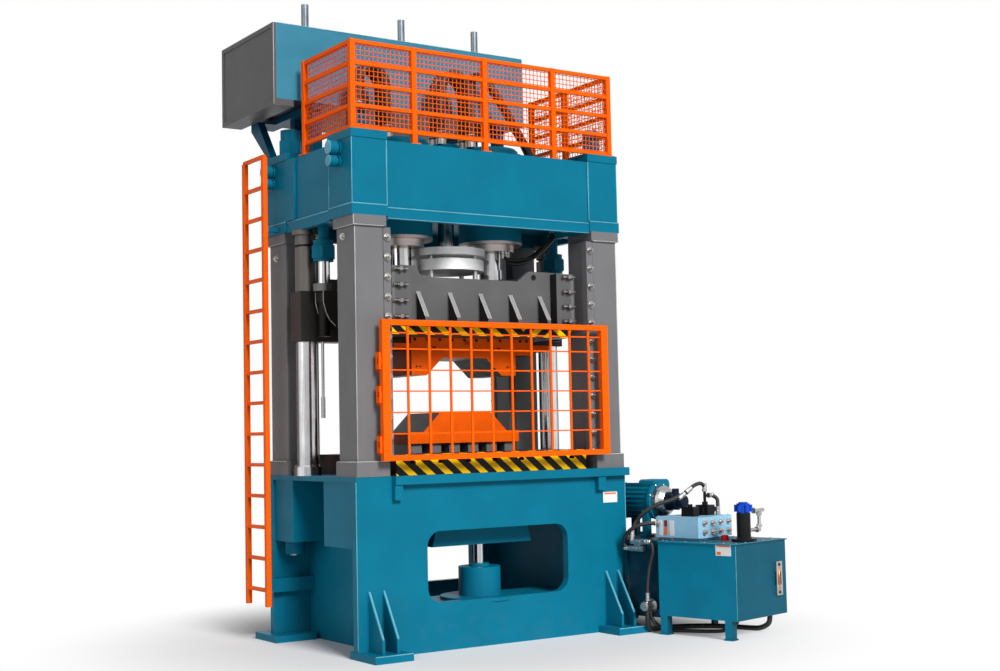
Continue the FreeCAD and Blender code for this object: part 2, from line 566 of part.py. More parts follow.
hollows = [
    block("hollow_middle", ("skirt_thick - corner_in_x", "corner_in_x - skirt_thick"),
          (f"skirt_thick - {DEEP}", f"{DEEP} - skirt_thick"),
          ("crown_bottom - crown_recess", "crown_bottom + crown_recess")),
    block("hollow_sides", (f"skirt_thick - {HALF}", f"{HALF} - skirt_thick"),
          ("skirt_thick - corner_in_y", "corner_in_y - skirt_thick"),
          ("crown_bottom - crown_recess", "crown_bottom + crown_recess")),
]
head_bores = four("head_bore", rod("head_bore", BORE, ROD_X, ROD_Y, "crown_bottom - band_high",
                                   "crown_roof"))
head_bores += both("side_bore", rod("side_bore", "cyl_dia + 2 * run_gap", "cyl_x", "-cyl_y",
                                    "crown_bottom", "crown_roof"))
head_bores.append(rod("middle_bore", "mid_sleeve_dia + 2 * run_gap", 0, "-cyl_y",
                      "crown_bottom", "crown_roof"))
node("crown", cut("crown", fuse("head", *head_parts), *hollows, *head_bores))

# Lifting bosses at the four corners, a large one over a small one, each with a hexagon socket.
bosses = []
for name, diameter, height in (("high_boss", "boss_big_dia", "boss_high"),
                               ("low_boss", "boss_small_dia", "boss_low")):
    for row, along in (("front", "-boss_y"), ("rear", "boss_rear_y")):
        part = f"{name}_{row}"
        flange = rod(part + "_flange", diameter, HALF, along, height, "boss_flange", "x")
        stem = rod(part + "_stem", f"{diameter} - 2 * boss_flange", HALF, along, height,
                   "boss_long", "x")
        knob = rod(part + "_knob", diameter, f"{HALF} + 2 * boss_flange", along, height,
                   "boss_long - 2 * boss_flange", "x")
        socket = nut(part + "_socket", "boss_socket", f"{HALF} + boss_long / 2", along, height,
                     "boss_long", "x")
        bosses += both(part, cut(part, fuse(part + "_solid", flange, stem, knob), socket))
node("crown_bosses", gather("crown_bosses", *bosses))

# ---------------------------------------------------------------- rails and columns
# Each rail is a front bar bolted to a post's inner face with a wear bar behind it.
RAIL_X = "post_out_x - post_wide"
node("guide_rails", gather("guide_rails", *four("guide_rail", slab("guide_rail", [
    (RAIL_X, "post_out_y"), (f"{RAIL_X} - rail_wide", "post_out_y"),
    (f"{RAIL_X} - rail_wide", "post_out_y - rail_deep"),
    (f"{RAIL_X} - wear_wide", "post_out_y - rail_deep"),
    (f"{RAIL_X} - wear_wide", "post_out_y - rail_deep - wear_deep"),
    (RAIL_X, "post_out_y - rail_deep - wear_deep")], "rail_bottom", "rail_top"))))
bolts = []
for step in range(12):
    height = f"rail_bolt_first + {step} * rail_bolt_pitch"
    place = (f"{RAIL_X} - rail_wide + rail_bolt_edge", "post_out_y", height)
    washer = rod(f"rail_washer_{step}", "rail_washer_dia", *place, "rail_washer_high", "y")
    screw = rod(f"rail_screw_{step}", "rail_screw_dia", *place,
                "rail_washer_high + 2 * rail_bolt_high", "y")
    hexagon = nut(f"rail_nut_{step}", "rail_bolt_flat", place[0],
                  "post_out_y + rail_washer_high", height, "rail_bolt_high", "y")
    bolts += four(f"rail_bolt_{step}", fuse(f"rail_bolt_{step}", washer, screw, hexagon))
node("rail_bolts", gather("rail_bolts", *bolts))

column = turned("guide_column", [
    (0, "deck_top"), ("column_foot_dia / 2", "deck_top"),
    ("column_foot_dia / 2", "deck_top + column_foot_high * 0.8"),
    ("column_foot_dia / 2 - rod_end", "deck_top + column_foot_high"),
    ("column_dia / 2", "deck_top + column_foot_high"), ("column_dia / 2", "neck_low"),
    ("column_neck_dia / 2", "neck_low"), ("column_neck_dia / 2", "neck_low + rod_end"),
    ("column_dia / 2", "neck_low + 2 * rod_end"), ("column_dia / 2", "neck_low + neck_collar"),
    ("column_foot_dia / 2", "neck_low + neck_collar"),
    ("column_foot_dia / 2", "crown_bottom - side_drop"), (0, "crown_bottom - side_drop")],
    "column_x", "column_y")
node("guide_columns", gather("guide_columns", *both("guide_column", column)))

# ---------------------------------------------------------------- cylinders in the crown
cylinder = turned("cylinder", [
    ("ram_dia / 2 + ram_gap", "cyl_low"), ("cyl_dia / 2", "cyl_low"),
    ("cyl_dia / 2", "crown_roof + cap_high"), ("cyl_dia / 2 - collar_lip", "crown_roof + cap_high"),
    ("cyl_dia / 2 - collar_lip", "cyl_top - collar_lip"),
    ("cyl_dia / 2 - 2 * collar_lip", "cyl_top"), (0, "cyl_top"), (0, "bore_top"),
    ("ram_dia / 2 + ram_gap", "bore_top")], "cyl_x", "-cyl_y")
SLEEVE_LOW = "crown_bottom + crown_recess"
sleeve = turned("sleeve", [
    ("mid_ram_dia / 2 + ram_gap", SLEEVE_LOW), ("mid_sleeve_dia / 2", SLEEVE_LOW),
    ("mid_sleeve_dia / 2", ROOF), ("hub_dia / 2", ROOF), ("hub_dia / 2", "cyl_top"),
    (0, "cyl_top"), (0, "bore_top"), ("mid_ram_dia / 2 + ram_gap", "bore_top")], 0, "-cyl_y")
node("main_cylinders", gather("main_cylinders", *both("cylinder", cylinder), sleeve))
gland = turned("gland", [
    ("ram_dia / 2 + ram_gap", "gland_low"), ("gland_dia / 2", "gland_low"),
    ("gland_dia / 2", "gland_low + gland_thick"), ("cyl_dia / 2", "gland_low + gland_thick"),
    ("cyl_dia / 2", "cyl_low"), ("ram_dia / 2 + ram_gap", "cyl_low")], "cyl_x", "-cyl_y")
node("cylinder_glands", gather("cylinder_glands", *both("gland", gland)))

# A return cylinder is a fixed plunger that hangs from the crown in a gland with a large nut.
PLUNGER = "ret_plunger_dia / 2"
GUIDE = "ret_barrel_dia / 2 + ram_gap"
plunger = turned("plunger", [
    (0, "ret_plunger_low"), (PLUNGER, "ret_plunger_low"), (PLUNGER, "ret_nut_top"),
    (GUIDE, "ret_nut_top"), (GUIDE, "ret_foot_low"), ("ret_foot_dia / 2", "ret_foot_low"),
    ("ret_foot_dia / 2", "ret_nut_low"), ("ret_ring_dia / 2 + rod_end", "ret_nut_low"),
    ("ret_ring_dia / 2 + rod_end", "ret_nut_top"), ("ret_ring_dia / 2", "ret_nut_top"),
    ("ret_ring_dia / 2", "ret_ring_top"), ("ret_neck_dia / 2", "ret_ring_top"),
    ("ret_neck_dia / 2", "crown_bottom + crown_recess"), (0, "crown_bottom + crown_recess")],
    "ret_x", 0)
nut_shell = cut("gland_nut", nut("gland_hex", "ret_nut_flat", "ret_x", 0, "ret_nut_low",
                                 "ret_nut_top - ret_nut_low - rod_end"),
                rod("gland_core", "ret_ring_dia", "ret_x", 0, "ret_foot_low", "ret_nut_top"))
node("return_cylinders", gather("return_cylinders",
                                *both("return_cylinder", fuse("return_cylinder", plunger,
                                                              nut_shell))))
ARM_LOW = "(slide_low + arm_rise)"
ARM_TOP = "(slide_low + arm_rise + arm_cap)"
WAIST = "(slide_low + arm_waist_rise)"
FOOT = "(slide_low + arm_foot_rise)"
TAIL_LOW = "(slide_low - ret_tail_drop)"
TAIL = "ret_tail_dia / 2"
INSIDE = "ret_plunger_dia / 2 + ram_gap"
barrel = turned("return_barrel", [
    (0, TAIL_LOW), (TAIL, TAIL_LOW), (TAIL, ARM_TOP),
    ("ret_disc_dia / 2", ARM_TOP), ("ret_disc_dia / 2", f"{ARM_TOP} + ret_disc_thick"),
    ("ret_barrel_dia / 2", f"{ARM_TOP} + ret_disc_thick"),
    ("ret_barrel_dia / 2", "ret_barrel_top"), (INSIDE, "ret_barrel_top"),
    (INSIDE, f"{TAIL_LOW} + rod_end"), (0, f"{TAIL_LOW} + rod_end")], "ret_x", 0)
node("return_rods", gather("return_rods", *both("return_barrel", barrel)))

# ---------------------------------------------------------------- slide and what it carries
SF = "slide_front"
front_sheet = wall("slide_sheet", [
    ("-slide_half", "slide_low"), ("slide_half", "slide_low"), ("slide_half", "slide_high"),
    ("dip_right_top", "slide_high"), ("dip_right", "slide_dip"),
    ("-dip_left - dip_round * 0.3", "slide_dip"),
    ("-dip_left - dip_round * 0.72", "slide_dip + dip_round * 0.28"),
    ("-dip_left_top", "slide_dip + dip_round * 0.7"), ("-dip_left_top", "slide_high"),
    ("-slide_half", "slide_high")], f"-{SF}", f"slide_wall - {SF}")
lift_hole = rod("lift_hole", "lift_hole_dia", "lift_hole_x", f"-{SF} - slide_wall",
                "lift_hole_z", "3 * slide_wall", "y")
sheets = both("sheet", cut("slide_sheet_holed", front_sheet, lift_hole), V(0, 1, 0))
ribs = []
for step in range(-2, 3):
    rib = side(f"slide_rib_{step + 2}", [
        (f"slide_wall / 2 - {SF}", "slide_low"), ("-slide_flange", "slide_low"),
        ("-slide_flange", "slide_gusset_knee"), (f"-{SF}", "slide_gusset_high"),
        (f"slide_wall / 2 - {SF}", "slide_gusset_high")],
        f"{step} * slide_gusset_pitch - slide_gusset_thick / 2",
        f"{step} * slide_gusset_pitch + slide_gusset_thick / 2")
    ribs += both(rib.Name, rib, V(0, 1, 0))
SLIDE_IN = f"{SF} - slide_wall"
cheeks = both("cheek", block("cheek", ("slide_half - slide_wall", "slide_half"),
                             (f"-({SLIDE_IN})", SLIDE_IN), ("slide_low", "slide_high")))
floor_plate = block("slide_floor", ("-slide_half", "slide_half"),
                    ("-slide_flange", "slide_flange"),
                    ("slide_low", "slide_low + slide_flange_thick"))
inner_deck = block("slide_core", ("-slide_half", "slide_half"),
                   (f"-({SLIDE_IN})", SLIDE_IN), ("slide_low", "slide_deck"))
shoe_blocks = four("shoe_block", block("shoe_block", ("slide_half - slide_wall", "shoe_in"),
                                       ("shoe_back", "shoe_block_front"),
                                       ("shoe_low", "shoe_high")))
lug = cut("lug_bored", fuse("lug", block("lug_upper", ("slide_half - slide_wall", "lug_out"),
                                         ("lug_front", "lug_back"), ("slide_low", "lug_high")),
                            block("lug_lower", ("die_plate_half + lug_gap", "lug_out"),
                                  ("lug_front", "lug_back"), ("lug_low", "slide_low"))),
          rod("lug_bore", "column_dia + 2 * run_gap", "column_x", "column_y",
              "lug_low - rod_end", "lug_high - lug_low + 2 * rod_end"))
ARM = [("slide_half - slide_wall", ARM_TOP), ("arm_out", ARM_TOP),
       ("arm_out", ARM_LOW), ("arm_waist_x", WAIST),
       ("arm_waist_x * 0.62 + arm_foot_x * 0.38", f"{WAIST} * 0.46 + {FOOT} * 0.54"),
       ("arm_foot_x", FOOT), ("slide_half - slide_wall", FOOT)]
arms = []
for place, middle in (("front_arm", "-arm_y"), ("rear_arm", "arm_y")):
    arms.append(wall(place, ARM, f"{middle} - arm_thick / 2", f"{middle} + arm_thick / 2"))
arm_block = cut("arm_block_bored",
                block("arm_block", ("arm_block_in", "arm_out"), ("-arm_y", "arm_y"),
                      (ARM_LOW, ARM_TOP)),
                rod("arm_block_bore", "ret_tail_dia + 2 * run_gap", "ret_x", 0,
                    f"{ARM_LOW} - rod_end", "arm_cap + 2 * rod_end"))
# the lug stands clear of the rear arm, and a tie plate joins them
tie_plate = block("arm_tie", ("slide_half - slide_wall", "arm_block_in - arm_thick"),
                  ("arm_y", "lug_front + rod_end"), (ARM_LOW, ARM_TOP))
wing = fuse("wing", lug, *arms, arm_block, tie_plate)
node("slide", fuse("slide", *sheets, *ribs, *cheeks, floor_plate, inner_deck, *shoe_blocks,
                   *both("wing", wing)))

SHOE = [("shoe_in", "shoe_block_front"), ("shoe_face", "shoe_block_front"),
        ("shoe_face", "shoe_step"), (f"{RAIL_X} - wear_wide - run_gap", "shoe_step"),
        (f"{RAIL_X} - wear_wide - run_gap", "shoe_back"), ("shoe_in", "shoe_back")]
node("shoe_plates", gather("shoe_plates", *four("shoe_plate", slab("shoe_plate", SHOE,
                                                                   "shoe_low", "shoe_high"))))
set_bolts = []
for step in range(4):
    height = f"shoe_bolt_first + {step} * shoe_bolt_pitch"
    screw = rod(f"set_screw_{step}", "shoe_bolt_dia * 0.6", "shoe_bolt_in", "shoe_block_front +"
                " shoe_bolt_dia", height, "shoe_face - shoe_bolt_in", "x")
    head_nut = nut(f"set_nut_{step}", "shoe_bolt_dia", "shoe_bolt_in", "shoe_block_front +"
                   " shoe_bolt_dia", height, "shoe_bolt_dia", "x")
    lock_nut = nut(f"lock_nut_{step}", "shoe_bolt_dia", "shoe_bolt_in + 3 * shoe_bolt_dia",
                   "shoe_block_front + shoe_bolt_dia", height, "shoe_bolt_dia * 0.7", "x")
    foot = block(f"set_foot_{step}", ("shoe_bolt_in + 2 * shoe_bolt_dia",
                                      "shoe_bolt_in + 3 * shoe_bolt_dia"),
                 ("shoe_block_front", "shoe_block_front + 1.6 * shoe_bolt_dia"),
                 (f"{height} - shoe_bolt_dia * 0.6", f"{height} + shoe_bolt_dia * 0.6"))
    set_bolts += four(f"set_bolt_{step}", fuse(f"set_bolt_{step}", screw, head_nut, lock_nut,
                                               foot))
node("shoe_bolts", gather("shoe_bolts", *set_bolts))

node("die_plate", block("die_plate", ("-die_plate_half", "die_plate_half"),
                        ("-die_plate_front", "die_plate_front"), ("die_plate_low", "slide_low")))
# The upper die is an arch with two stepped lugs, shorter at the left.
arch = wall("arch", [
    ("-upper_half", "upper_low"), ("-arch_low_half", "upper_low"),
    ("-arch_top_half", "arch_top"), ("arch_top_half", "arch_top"),
    ("arch_low_half", "upper_low"), ("upper_half", "upper_low"),
    ("upper_half", "die_plate_low"), ("-upper_half", "die_plate_low")],
    "-die_front", "die_back")
shoulder = block("shoulder", ("upper_half", "lug_plate_out"), ("-die_front",
                                                               "die_back"),
                 ("lug_plate_low", "die_plate_low"))
right_tip = block("right_tip", ("lug_plate_out", "lug_tip_out"), ("-die_front", "die_back"),
                  ("lug_tip_low", "lug_tip_high"))
left_tip = block("left_tip", ("-left_tip_out", "-upper_half"), ("-die_front", "die_back"),
                 ("lug_tip_low", "lug_tip_high"))
recess = [block(f"recess_{at}", (x0, x1), ("-die_front - rod_end", "recess_deep - die_front"),
                (low, f"{low} + recess_high"))
          for at, x0, x1, low in ((0, 0, "recess_wide", "recess_low"),
                                  (1, "recess_far", "recess_far + recess_wide",
                                   "recess_low - recess_drop"),
                                  (2, "-recess_far - recess_wide", "-recess_far",
                                   "recess_low - recess_drop"))]
node("upper_die", cut("upper_die", fuse("upper_die_solid", arch, shoulder, right_tip, left_tip),
                      *recess))

side_ram = turned("side_ram", [
    (0, "slide_deck"), ("ram_foot_dia / 2", "slide_deck"),
    ("ram_foot_dia / 2", "slide_deck + ram_foot_high"),
    ("ram_dia / 2", "slide_deck + ram_foot_high"), ("ram_dia / 2", "ram_top"), (0, "ram_top")],
    "cyl_x", "-cyl_y")
middle_ram = rod("middle_ram", "mid_ram_dia", 0, "-cyl_y", "disc_low + disc_thick",
                 "ram_top - disc_low - disc_thick")
node("rams", gather("rams", *both("side_ram", side_ram), middle_ram))

# Two broad discs under the middle ram, the upper one carried on four studs.
discs = turned("discs", [
    (0, "plate_disc_low"), ("plate_disc_dia / 2", "plate_disc_low"),
    ("plate_disc_dia / 2", "plate_disc_low + plate_disc_thick"),
    ("hub_dia / 2", "plate_disc_low + plate_disc_thick"), ("hub_dia / 2", "disc_low"),
    ("disc_dia / 2 - rod_end / 2", "disc_low"), ("disc_dia / 2", "disc_low + rod_end / 2"),
    ("disc_dia / 2", "disc_low + disc_thick"), (0, "disc_low + disc_thick")], 0, "-cyl_y")
notches = []
studs = []
for step in range(4):
    across = f"stud_circle * cos(stud_angle + {90 * step})"
    along = f"stud_circle * sin(stud_angle + {90 * step}) - cyl_y"
    notches.append(rod(f"stud_notch_{step}", "stud_nut_dia + 2 * stud_gap", across, along,
                       "plate_disc_low - rod_end", "plate_disc_thick + 2 * rod_end"))
    stem = rod(f"stud_stem_{step}", "stud_dia", across, along, "slide_deck",
               "disc_low - slide_deck")
    stud_nut = rod(f"stud_nut_{step}", "stud_nut_dia", across, along,
                   "disc_low - 2 * stud_nut_high", "stud_nut_high")
    stud_foot = rod(f"stud_foot_{step}", "stud_nut_dia * 0.85", across, along, "slide_deck",
                    "plate_disc_low - slide_deck + 2 * stud_nut_high")
    studs.append(fuse(f"stud_{step}", stem, stud_nut, stud_foot))
node("ram_discs", cut("ram_discs", discs, *notches))
gauge = fuse("gauge_rod", rod("gauge_stem", "gauge_rod_dia * 0.7", "gauge_rod_x", "gauge_rod_y",
                              "gauge_rod_low", "lug_low - gauge_rod_low"),
             rod("gauge_tip", "gauge_rod_dia", "gauge_rod_x", "gauge_rod_y", "gauge_rod_low",
                 "5 * gauge_rod_dia"))
node("slide_studs", gather("slide_studs", *studs, *both("gauge_rod", gauge)))

# ---------------------------------------------------------------- prefill tank above the crown
tank = block("tank", ("-tank_left", "tank_right"), ("tank_front", "tank_back"),
             ("tank_low", "tank_high"))
node("top_tank", tank)
CAP_X = ("-tank_left - cap_thick", "-tank_left")
cap_plate = block("cap_plate", CAP_X, ("tank_front", "tank_back"),
                  ("tank_low - cap_drop", "tank_high"))
cap_sink = block("cap_sink", ("-tank_left - cap_thick - cap_sink", "cap_sink - cap_thick - "
                              "tank_left"), ("tank_front + cap_rim", "tank_back - cap_rim"),
                 ("tank_low - cap_drop + cap_rim", "tank_high - cap_rim"))
tray = block("cap_tray", ("-tank_left", "cap_tray - tank_left"), ("tank_front", "tank_back"),
             ("tank_low - cap_drop", "tank_low"))
node("tank_end_cap", fuse("tank_end_cap", cut("cap_plate_sunk", cap_plate, cap_sink), tray))
vents = []
for place, across in (("left", "-vent_left"), ("mid", "-vent_mid"), ("right", "vent_right")):
    pipe = rod(f"vent_{place}", "vent_dia", across, "vent_y", "tank_high", "vent_high")
    bore = rod(f"vent_bore_{place}", "vent_bore", across, "vent_y", "tank_high + cap_thick",
               "vent_high")
    vents.append(cut(f"vent_{place}_pipe", pipe, bore))
node("vent_pipes", gather("vent_pipes", *vents))
# Four legs under the front of the tank and two leaning struts to the rear corner caps.
struts = []
for place, middle in (("left", "-strut_x"), ("right", "strut_right_x")):
    span = (f"{middle} - strut_wide / 2", f"{middle} + strut_wide / 2")
    ground = CAP_TOP if place == "left" else ROOF
    struts.append(side(f"strut_{place}", [
        ("strut_foot_y - strut_wide / 2", ground), ("strut_foot_y + strut_wide / 2", ground),
        ("strut_head_y + strut_wide", "tank_low - cap_drop - cap_drop"),
        ("strut_head_y + strut_wide", "tank_low - strut_over"),
        ("strut_head_y - strut_wide", "tank_low - strut_over")], *span))
    leg_middle = "-leg_x_left" if place == "left" else "leg_x_right"
    rear_middle = f"{leg_middle} + leg_rear_in" if place == "left" else leg_middle
    for row, across, along, low in (("front", leg_middle, "leg_y", ROOF),
                                    ("rear", rear_middle, "leg_rear_y", ground)):
        struts.append(block(f"leg_{place}_{row}",
                            (f"{across} - leg_wide / 2", f"{across} + leg_wide / 2"),
                            (f"{along} - leg_wide / 2", f"{along} + leg_wide / 2"),
                            (low, "tank_low - strut_over")))
    struts.append(block(f"sill_{place}", (f"{leg_middle} - leg_wide / 2 - sill_lip",
                                          f"{leg_middle} + leg_wide / 2 + sill_lip"),
                        ("tank_front + sill_lip", "tank_back - 3 * sill_lip"),
                        ("tank_low - strut_over", "tank_low")))
    struts.append(block(f"sill_arm_{place}", ("min(" + leg_middle + "; " + middle + ") - "
                                              "strut_wide / 2",
                                              "max(" + leg_middle + "; " + middle + ") + "
                                              "strut_wide / 2"),
                        ("strut_head_y - strut_wide", "strut_head_y + strut_wide"),
                        ("tank_low - strut_over", "tank_low - strut_over + sill_lip")))
node("tank_struts", gather("tank_struts",
                           fuse("tank_struts_left", *struts[:5]),
                           fuse("tank_struts_right", *struts[5:])))

# ---------------------------------------------------------------- fence round the platform
POST = "fence_post / 2"
RAIL = "fence_rail / 2"
fence_parts = []


def fence_post(name, across, along, ground):
    """A square post on a small foot plate."""
    fence_parts.append(block(name, (f"{across} - {POST}", f"{across} + {POST}"),
                             (f"{along} - {POST}", f"{along} + {POST}"), (ground, "fence_high")))
    fence_parts.append(block(name + "_foot", (f"{across} - fence_foot / 2",
                                              f"{across} + fence_foot / 2"),
                             (f"{along} - fence_foot / 2", f"{along} + fence_foot / 2"),
                             (ground, f"{ground} + fence_foot_thick")))


fence_post("fence_corner_left", "-fence_x", "-fence_y", CAP_TOP)
fence_post("fence_two", "-fence_post_two", "-fence_y", ROOF)
fence_post("fence_three", "-fence_post_three", "-fence_y", ROOF)
fence_post("fence_four", "fence_post_four", "-fence_y", ROOF)
fence_post("fence_corner_right", "fence_x", "-fence_y", CAP_TOP)
fence_post("fence_left_end", "-fence_x", "fence_side_end", ROOF)
fence_post("fence_right_mid", "fence_x", "-fence_side_end", ROOF)
fence_post("fence_right_end", "fence_x", "fence_right_end", CAP_TOP)
for step in range(5):
    level = (f"fence_low + {step} * (fence_high - fence_low - fence_rail) / 4",
             f"fence_low + {step} * (fence_high - fence_low - fence_rail) / 4 + fence_rail")
    fence_parts.append(block(f"fence_front_{step}", ("-fence_x", "fence_x"),
                             (f"-fence_y - {RAIL}", f"{RAIL} - fence_y"), level))
    fence_parts.append(block(f"fence_left_{step}", (f"-fence_x - {RAIL}", f"{RAIL} - fence_x"),
                             ("-fence_y", "fence_side_end"), level))
    fence_parts.append(block(f"fence_right_{step}", (f"fence_x - {RAIL}", f"fence_x + {RAIL}"),
                             ("-fence_y", "fence_right_end"), level))
node("fence", fuse("fence", *fence_parts))


def net(length, high, pitch, thick):
    """A flat net: a sheet with one rectangular hole in each mesh, standing on the X axis."""
    columns = int(length // pitch)
    rows = int(high // pitch)
    holes = [Part.makePolygon([V(0, 0, 0), V(length, 0, 0), V(length, 0, high), V(0, 0, high),
                               V(0, 0, 0)])]
    margin = SIZE.wire_dia / 2
    for column in range(columns):
        left = column * length / columns + margin
        right = (column + 1) * length / columns - margin
        for row in range(rows):
            low = row * high / rows + margin
            top = (row + 1) * high / rows - margin
            holes.append(Part.makePolygon([V(left, 0, low), V(right, 0, low), V(right, 0, top),
                                           V(left, 0, top), V(left, 0, low)]))
    return Part.Face(holes, "Part::FaceMakerBullseye").extrude(V(0, thick, 0))


NET_OUT = SIZE.fence_rail / 2
NET_LOW = SIZE.fence_low
NET_HIGH = SIZE.fence_high - SIZE.fence_low
front_net = net(2 * SIZE.fence_x, NET_HIGH, SIZE.net_pitch, SIZE.sheet_thick)
front_net.Placement = FreeCAD.Placement(V(-SIZE.fence_x, NET_OUT - SIZE.fence_y, NET_LOW),
                                        FreeCAD.Rotation())
left_net = net(SIZE.fence_side_end + SIZE.fence_y - SIZE.fence_post - 2 * SIZE.sheet_thick,
               NET_HIGH, SIZE.net_pitch, SIZE.sheet_thick)
left_net.Placement = FreeCAD.Placement(
    V(NET_OUT + SIZE.sheet_thick - SIZE.fence_x,
      SIZE.fence_post / 2 + 2 * SIZE.sheet_thick - SIZE.fence_y, NET_LOW),
    FreeCAD.Rotation(V(0, 0, 1), 90))
right_net = net(SIZE.fence_right_end + SIZE.fence_y - SIZE.fence_post - 2 * SIZE.sheet_thick,
                NET_HIGH, SIZE.net_pitch, SIZE.sheet_thick)
right_net.Placement = FreeCAD.Placement(
    V(SIZE.fence_x - NET_OUT, SIZE.fence_post / 2 + 2 * SIZE.sheet_thick - SIZE.fence_y,
      NET_LOW), FreeCAD.Rotation(V(0, 0, 1), 90))
net_shape = Part.makeCompound([front_net, left_net, right_net])
post_space = doc.addObject("Part::Feature", "post_space")
post_space.Shape = net_shape
clear_posts = []
for at, (across, along) in enumerate((("-fence_x", "-fence_y"), ("-fence_post_two", "-fence_y"),
                                      ("-fence_post_three", "-fence_y"),
                                      ("fence_post_four", "-fence_y"), ("fence_x", "-fence_y"),
                                      ("-fence_x", "fence_side_end"),
                                      ("fence_x", "-fence_side_end"),
                                      ("fence_x", "fence_right_end"))):
    clear_posts.append(block(f"clear_post_{at}", (f"{across} - {POST}", f"{across} + {POST}"),
                             (f"{along} - {POST}", f"{along} + {POST}"),
                             (ROOF, "fence_high + rod_end")))
node("fence_mesh", cut("fence_mesh", post_space, gather("clear_posts", *clear_posts)))

# ---------------------------------------------------------------- ladder at the left side
LADDER_X = "(max(base_half; crown_half + band_lip) + ladder_gap)"
LX = (f"-{LADDER_X} - ladder_rail / 2", f"ladder_rail / 2 - {LADDER_X}")
ladder_parts = [
    block("ladder_front_rail", LX, ("ladder_front", "ladder_front + ladder_rail"),
          ("ladder_low", "ladder_high")),
    block("ladder_back_rail", LX, ("ladder_back - ladder_rail", "ladder_back"),
          ("ladder_low", "ladder_high")),
    block("ladder_top_tie", (f"ladder_rail / 2 - {LADDER_X}", "-crown_half - band_lip"),
          ("ladder_front", "ladder_front + ladder_rail"),
          ("crown_bottom + band_drop", "crown_bottom + band_drop + ladder_tie")),
    block("ladder_low_tie", (f"-{LADDER_X}", "-side_bar_end"),
          ("ladder_front + ladder_rail", "ladder_front + ladder_rail + 3 * ladder_tie"),
          ("rung_first - rung_dia / 2", "rung_first + rung_dia / 2")),
]
for step in range(15):
    middle = f"rung_first + {step} * rung_pitch"
    ladder_parts.append(block(f"rung_{step}", (f"-{LADDER_X} - rung_dia / 2",
                                               f"rung_dia / 2 - {LADDER_X}"),
                              ("ladder_front + rod_end", "ladder_back - rod_end"),
                              (f"{middle} - rung_dia / 2", f"{middle} + rung_dia / 2")))
node("ladder", fuse("ladder", *ladder_parts))

# ---------------------------------------------------------------- swing gate
GY = ("-gate_front", "gate_thick - gate_front")
gate_parts = [
    block("gate_stile_left", ("-gate_left", "gate_stile - gate_left"), GY,
          ("gate_low", "gate_high")),
    block("gate_stile_right", ("gate_right - gate_stile", "gate_right"), GY,
          ("gate_low", "gate_high")),
    block("gate_rail_low", ("-gate_left", "gate_right"), GY, ("gate_low",
                                                              "gate_low + gate_rail")),
    block("gate_rail_high", ("-gate_left", "gate_right"), GY, ("gate_high - gate_rail",
                                                               "gate_high")),
]
BAR_Y = "gate_thick / 2 - gate_front"
for step in range(10):
    middle = f"{step} * gate_bar_pitch - gate_bar_first"
    gate_parts.append(block(f"gate_bar_{step}", (f"{middle} - bar_wide / 2",
                                                 f"{middle} + bar_wide / 2"),
                            (f"{BAR_Y} - bar_thick", BAR_Y), ("gate_low", "gate_high")))
for step in range(6):
    middle = f"gate_cross_low + {step} * gate_cross_pitch" if step < 5 else "gate_cross_top"
    gate_parts.append(block(f"gate_cross_{step}", ("-gate_left", "gate_right"),
                            (BAR_Y, f"{BAR_Y} + bar_thick"),
                            (f"{middle} - bar_thick / 2", f"{middle} + bar_thick / 2")))
hinge_bores = []
hinge_parts = []
for place in ("hinge_top", "hinge_mid", "hinge_low"):
    top = f"{place} + 3 * knuckle_high"
    leaf = block(f"{place}_leaf", ("-hinge_x", "hinge_plate - gate_left"),
                 ("-hinge_y - bar_thick / 2", "bar_thick / 2 - hinge_y"),
                 (f"{place} + knuckle_high + run_gap", f"{place} + 2 * knuckle_high - run_gap"))
    gate_parts.append(leaf)
    gate_parts.append(rod(f"{place}_knuckle", "knuckle_dia", "-hinge_x", "-hinge_y",
                          f"{place} + knuckle_high + run_gap", "knuckle_high - 2 * run_gap"))
    hinge_bores.append(rod(f"{place}_bore", "pin_dia + 2 * pin_gap", "-hinge_x", "-hinge_y",
                           place, "3 * knuckle_high"))
    solid = [rod(f"{place}_pin", "pin_dia", "-hinge_x", "-hinge_y", place, "3 * knuckle_high")]
    for end, low in (("foot", place), ("head", f"{place} + 2 * knuckle_high")):
        solid.append(rod(f"{place}_{end}", "knuckle_dia", "-hinge_x", "-hinge_y", low,
                         "knuckle_high"))
        solid.append(block(f"{place}_{end}_arm", ("-hinge_x - hinge_plate / 2",
                                                  "hinge_plate / 2 - hinge_x"),
                           ("-hinge_y", "hinge_plate - strap_front"),
                           (low, f"{low} + knuckle_high")))
    solid.append(block(f"{place}_strap", ("-hinge_x - hinge_plate / 2", "-strap_in"),
                       ("-strap_front", "hinge_plate - strap_front"), (place, top)))
    solid.append(block(f"{place}_web", ("-strap_in - hinge_plate", "-strap_in"),
                       ("-strap_front", "-post_out_y"), (place, top)))
    solid.append(block(f"{place}_plate", ("-strap_in - 3 * hinge_plate",
                                          "hinge_plate - strap_in"),
                       ("-post_out_y - hinge_plate / 2", "-post_out_y"),
                       (f"{place} - hinge_plate", f"{top} + hinge_plate")))
    hinge_parts.append(fuse(f"{place}_bracket", *solid))
node("gate", cut("gate", fuse("gate_solid", *gate_parts), *hinge_bores))
node("gate_hinges", gather("gate_hinges", *hinge_parts))

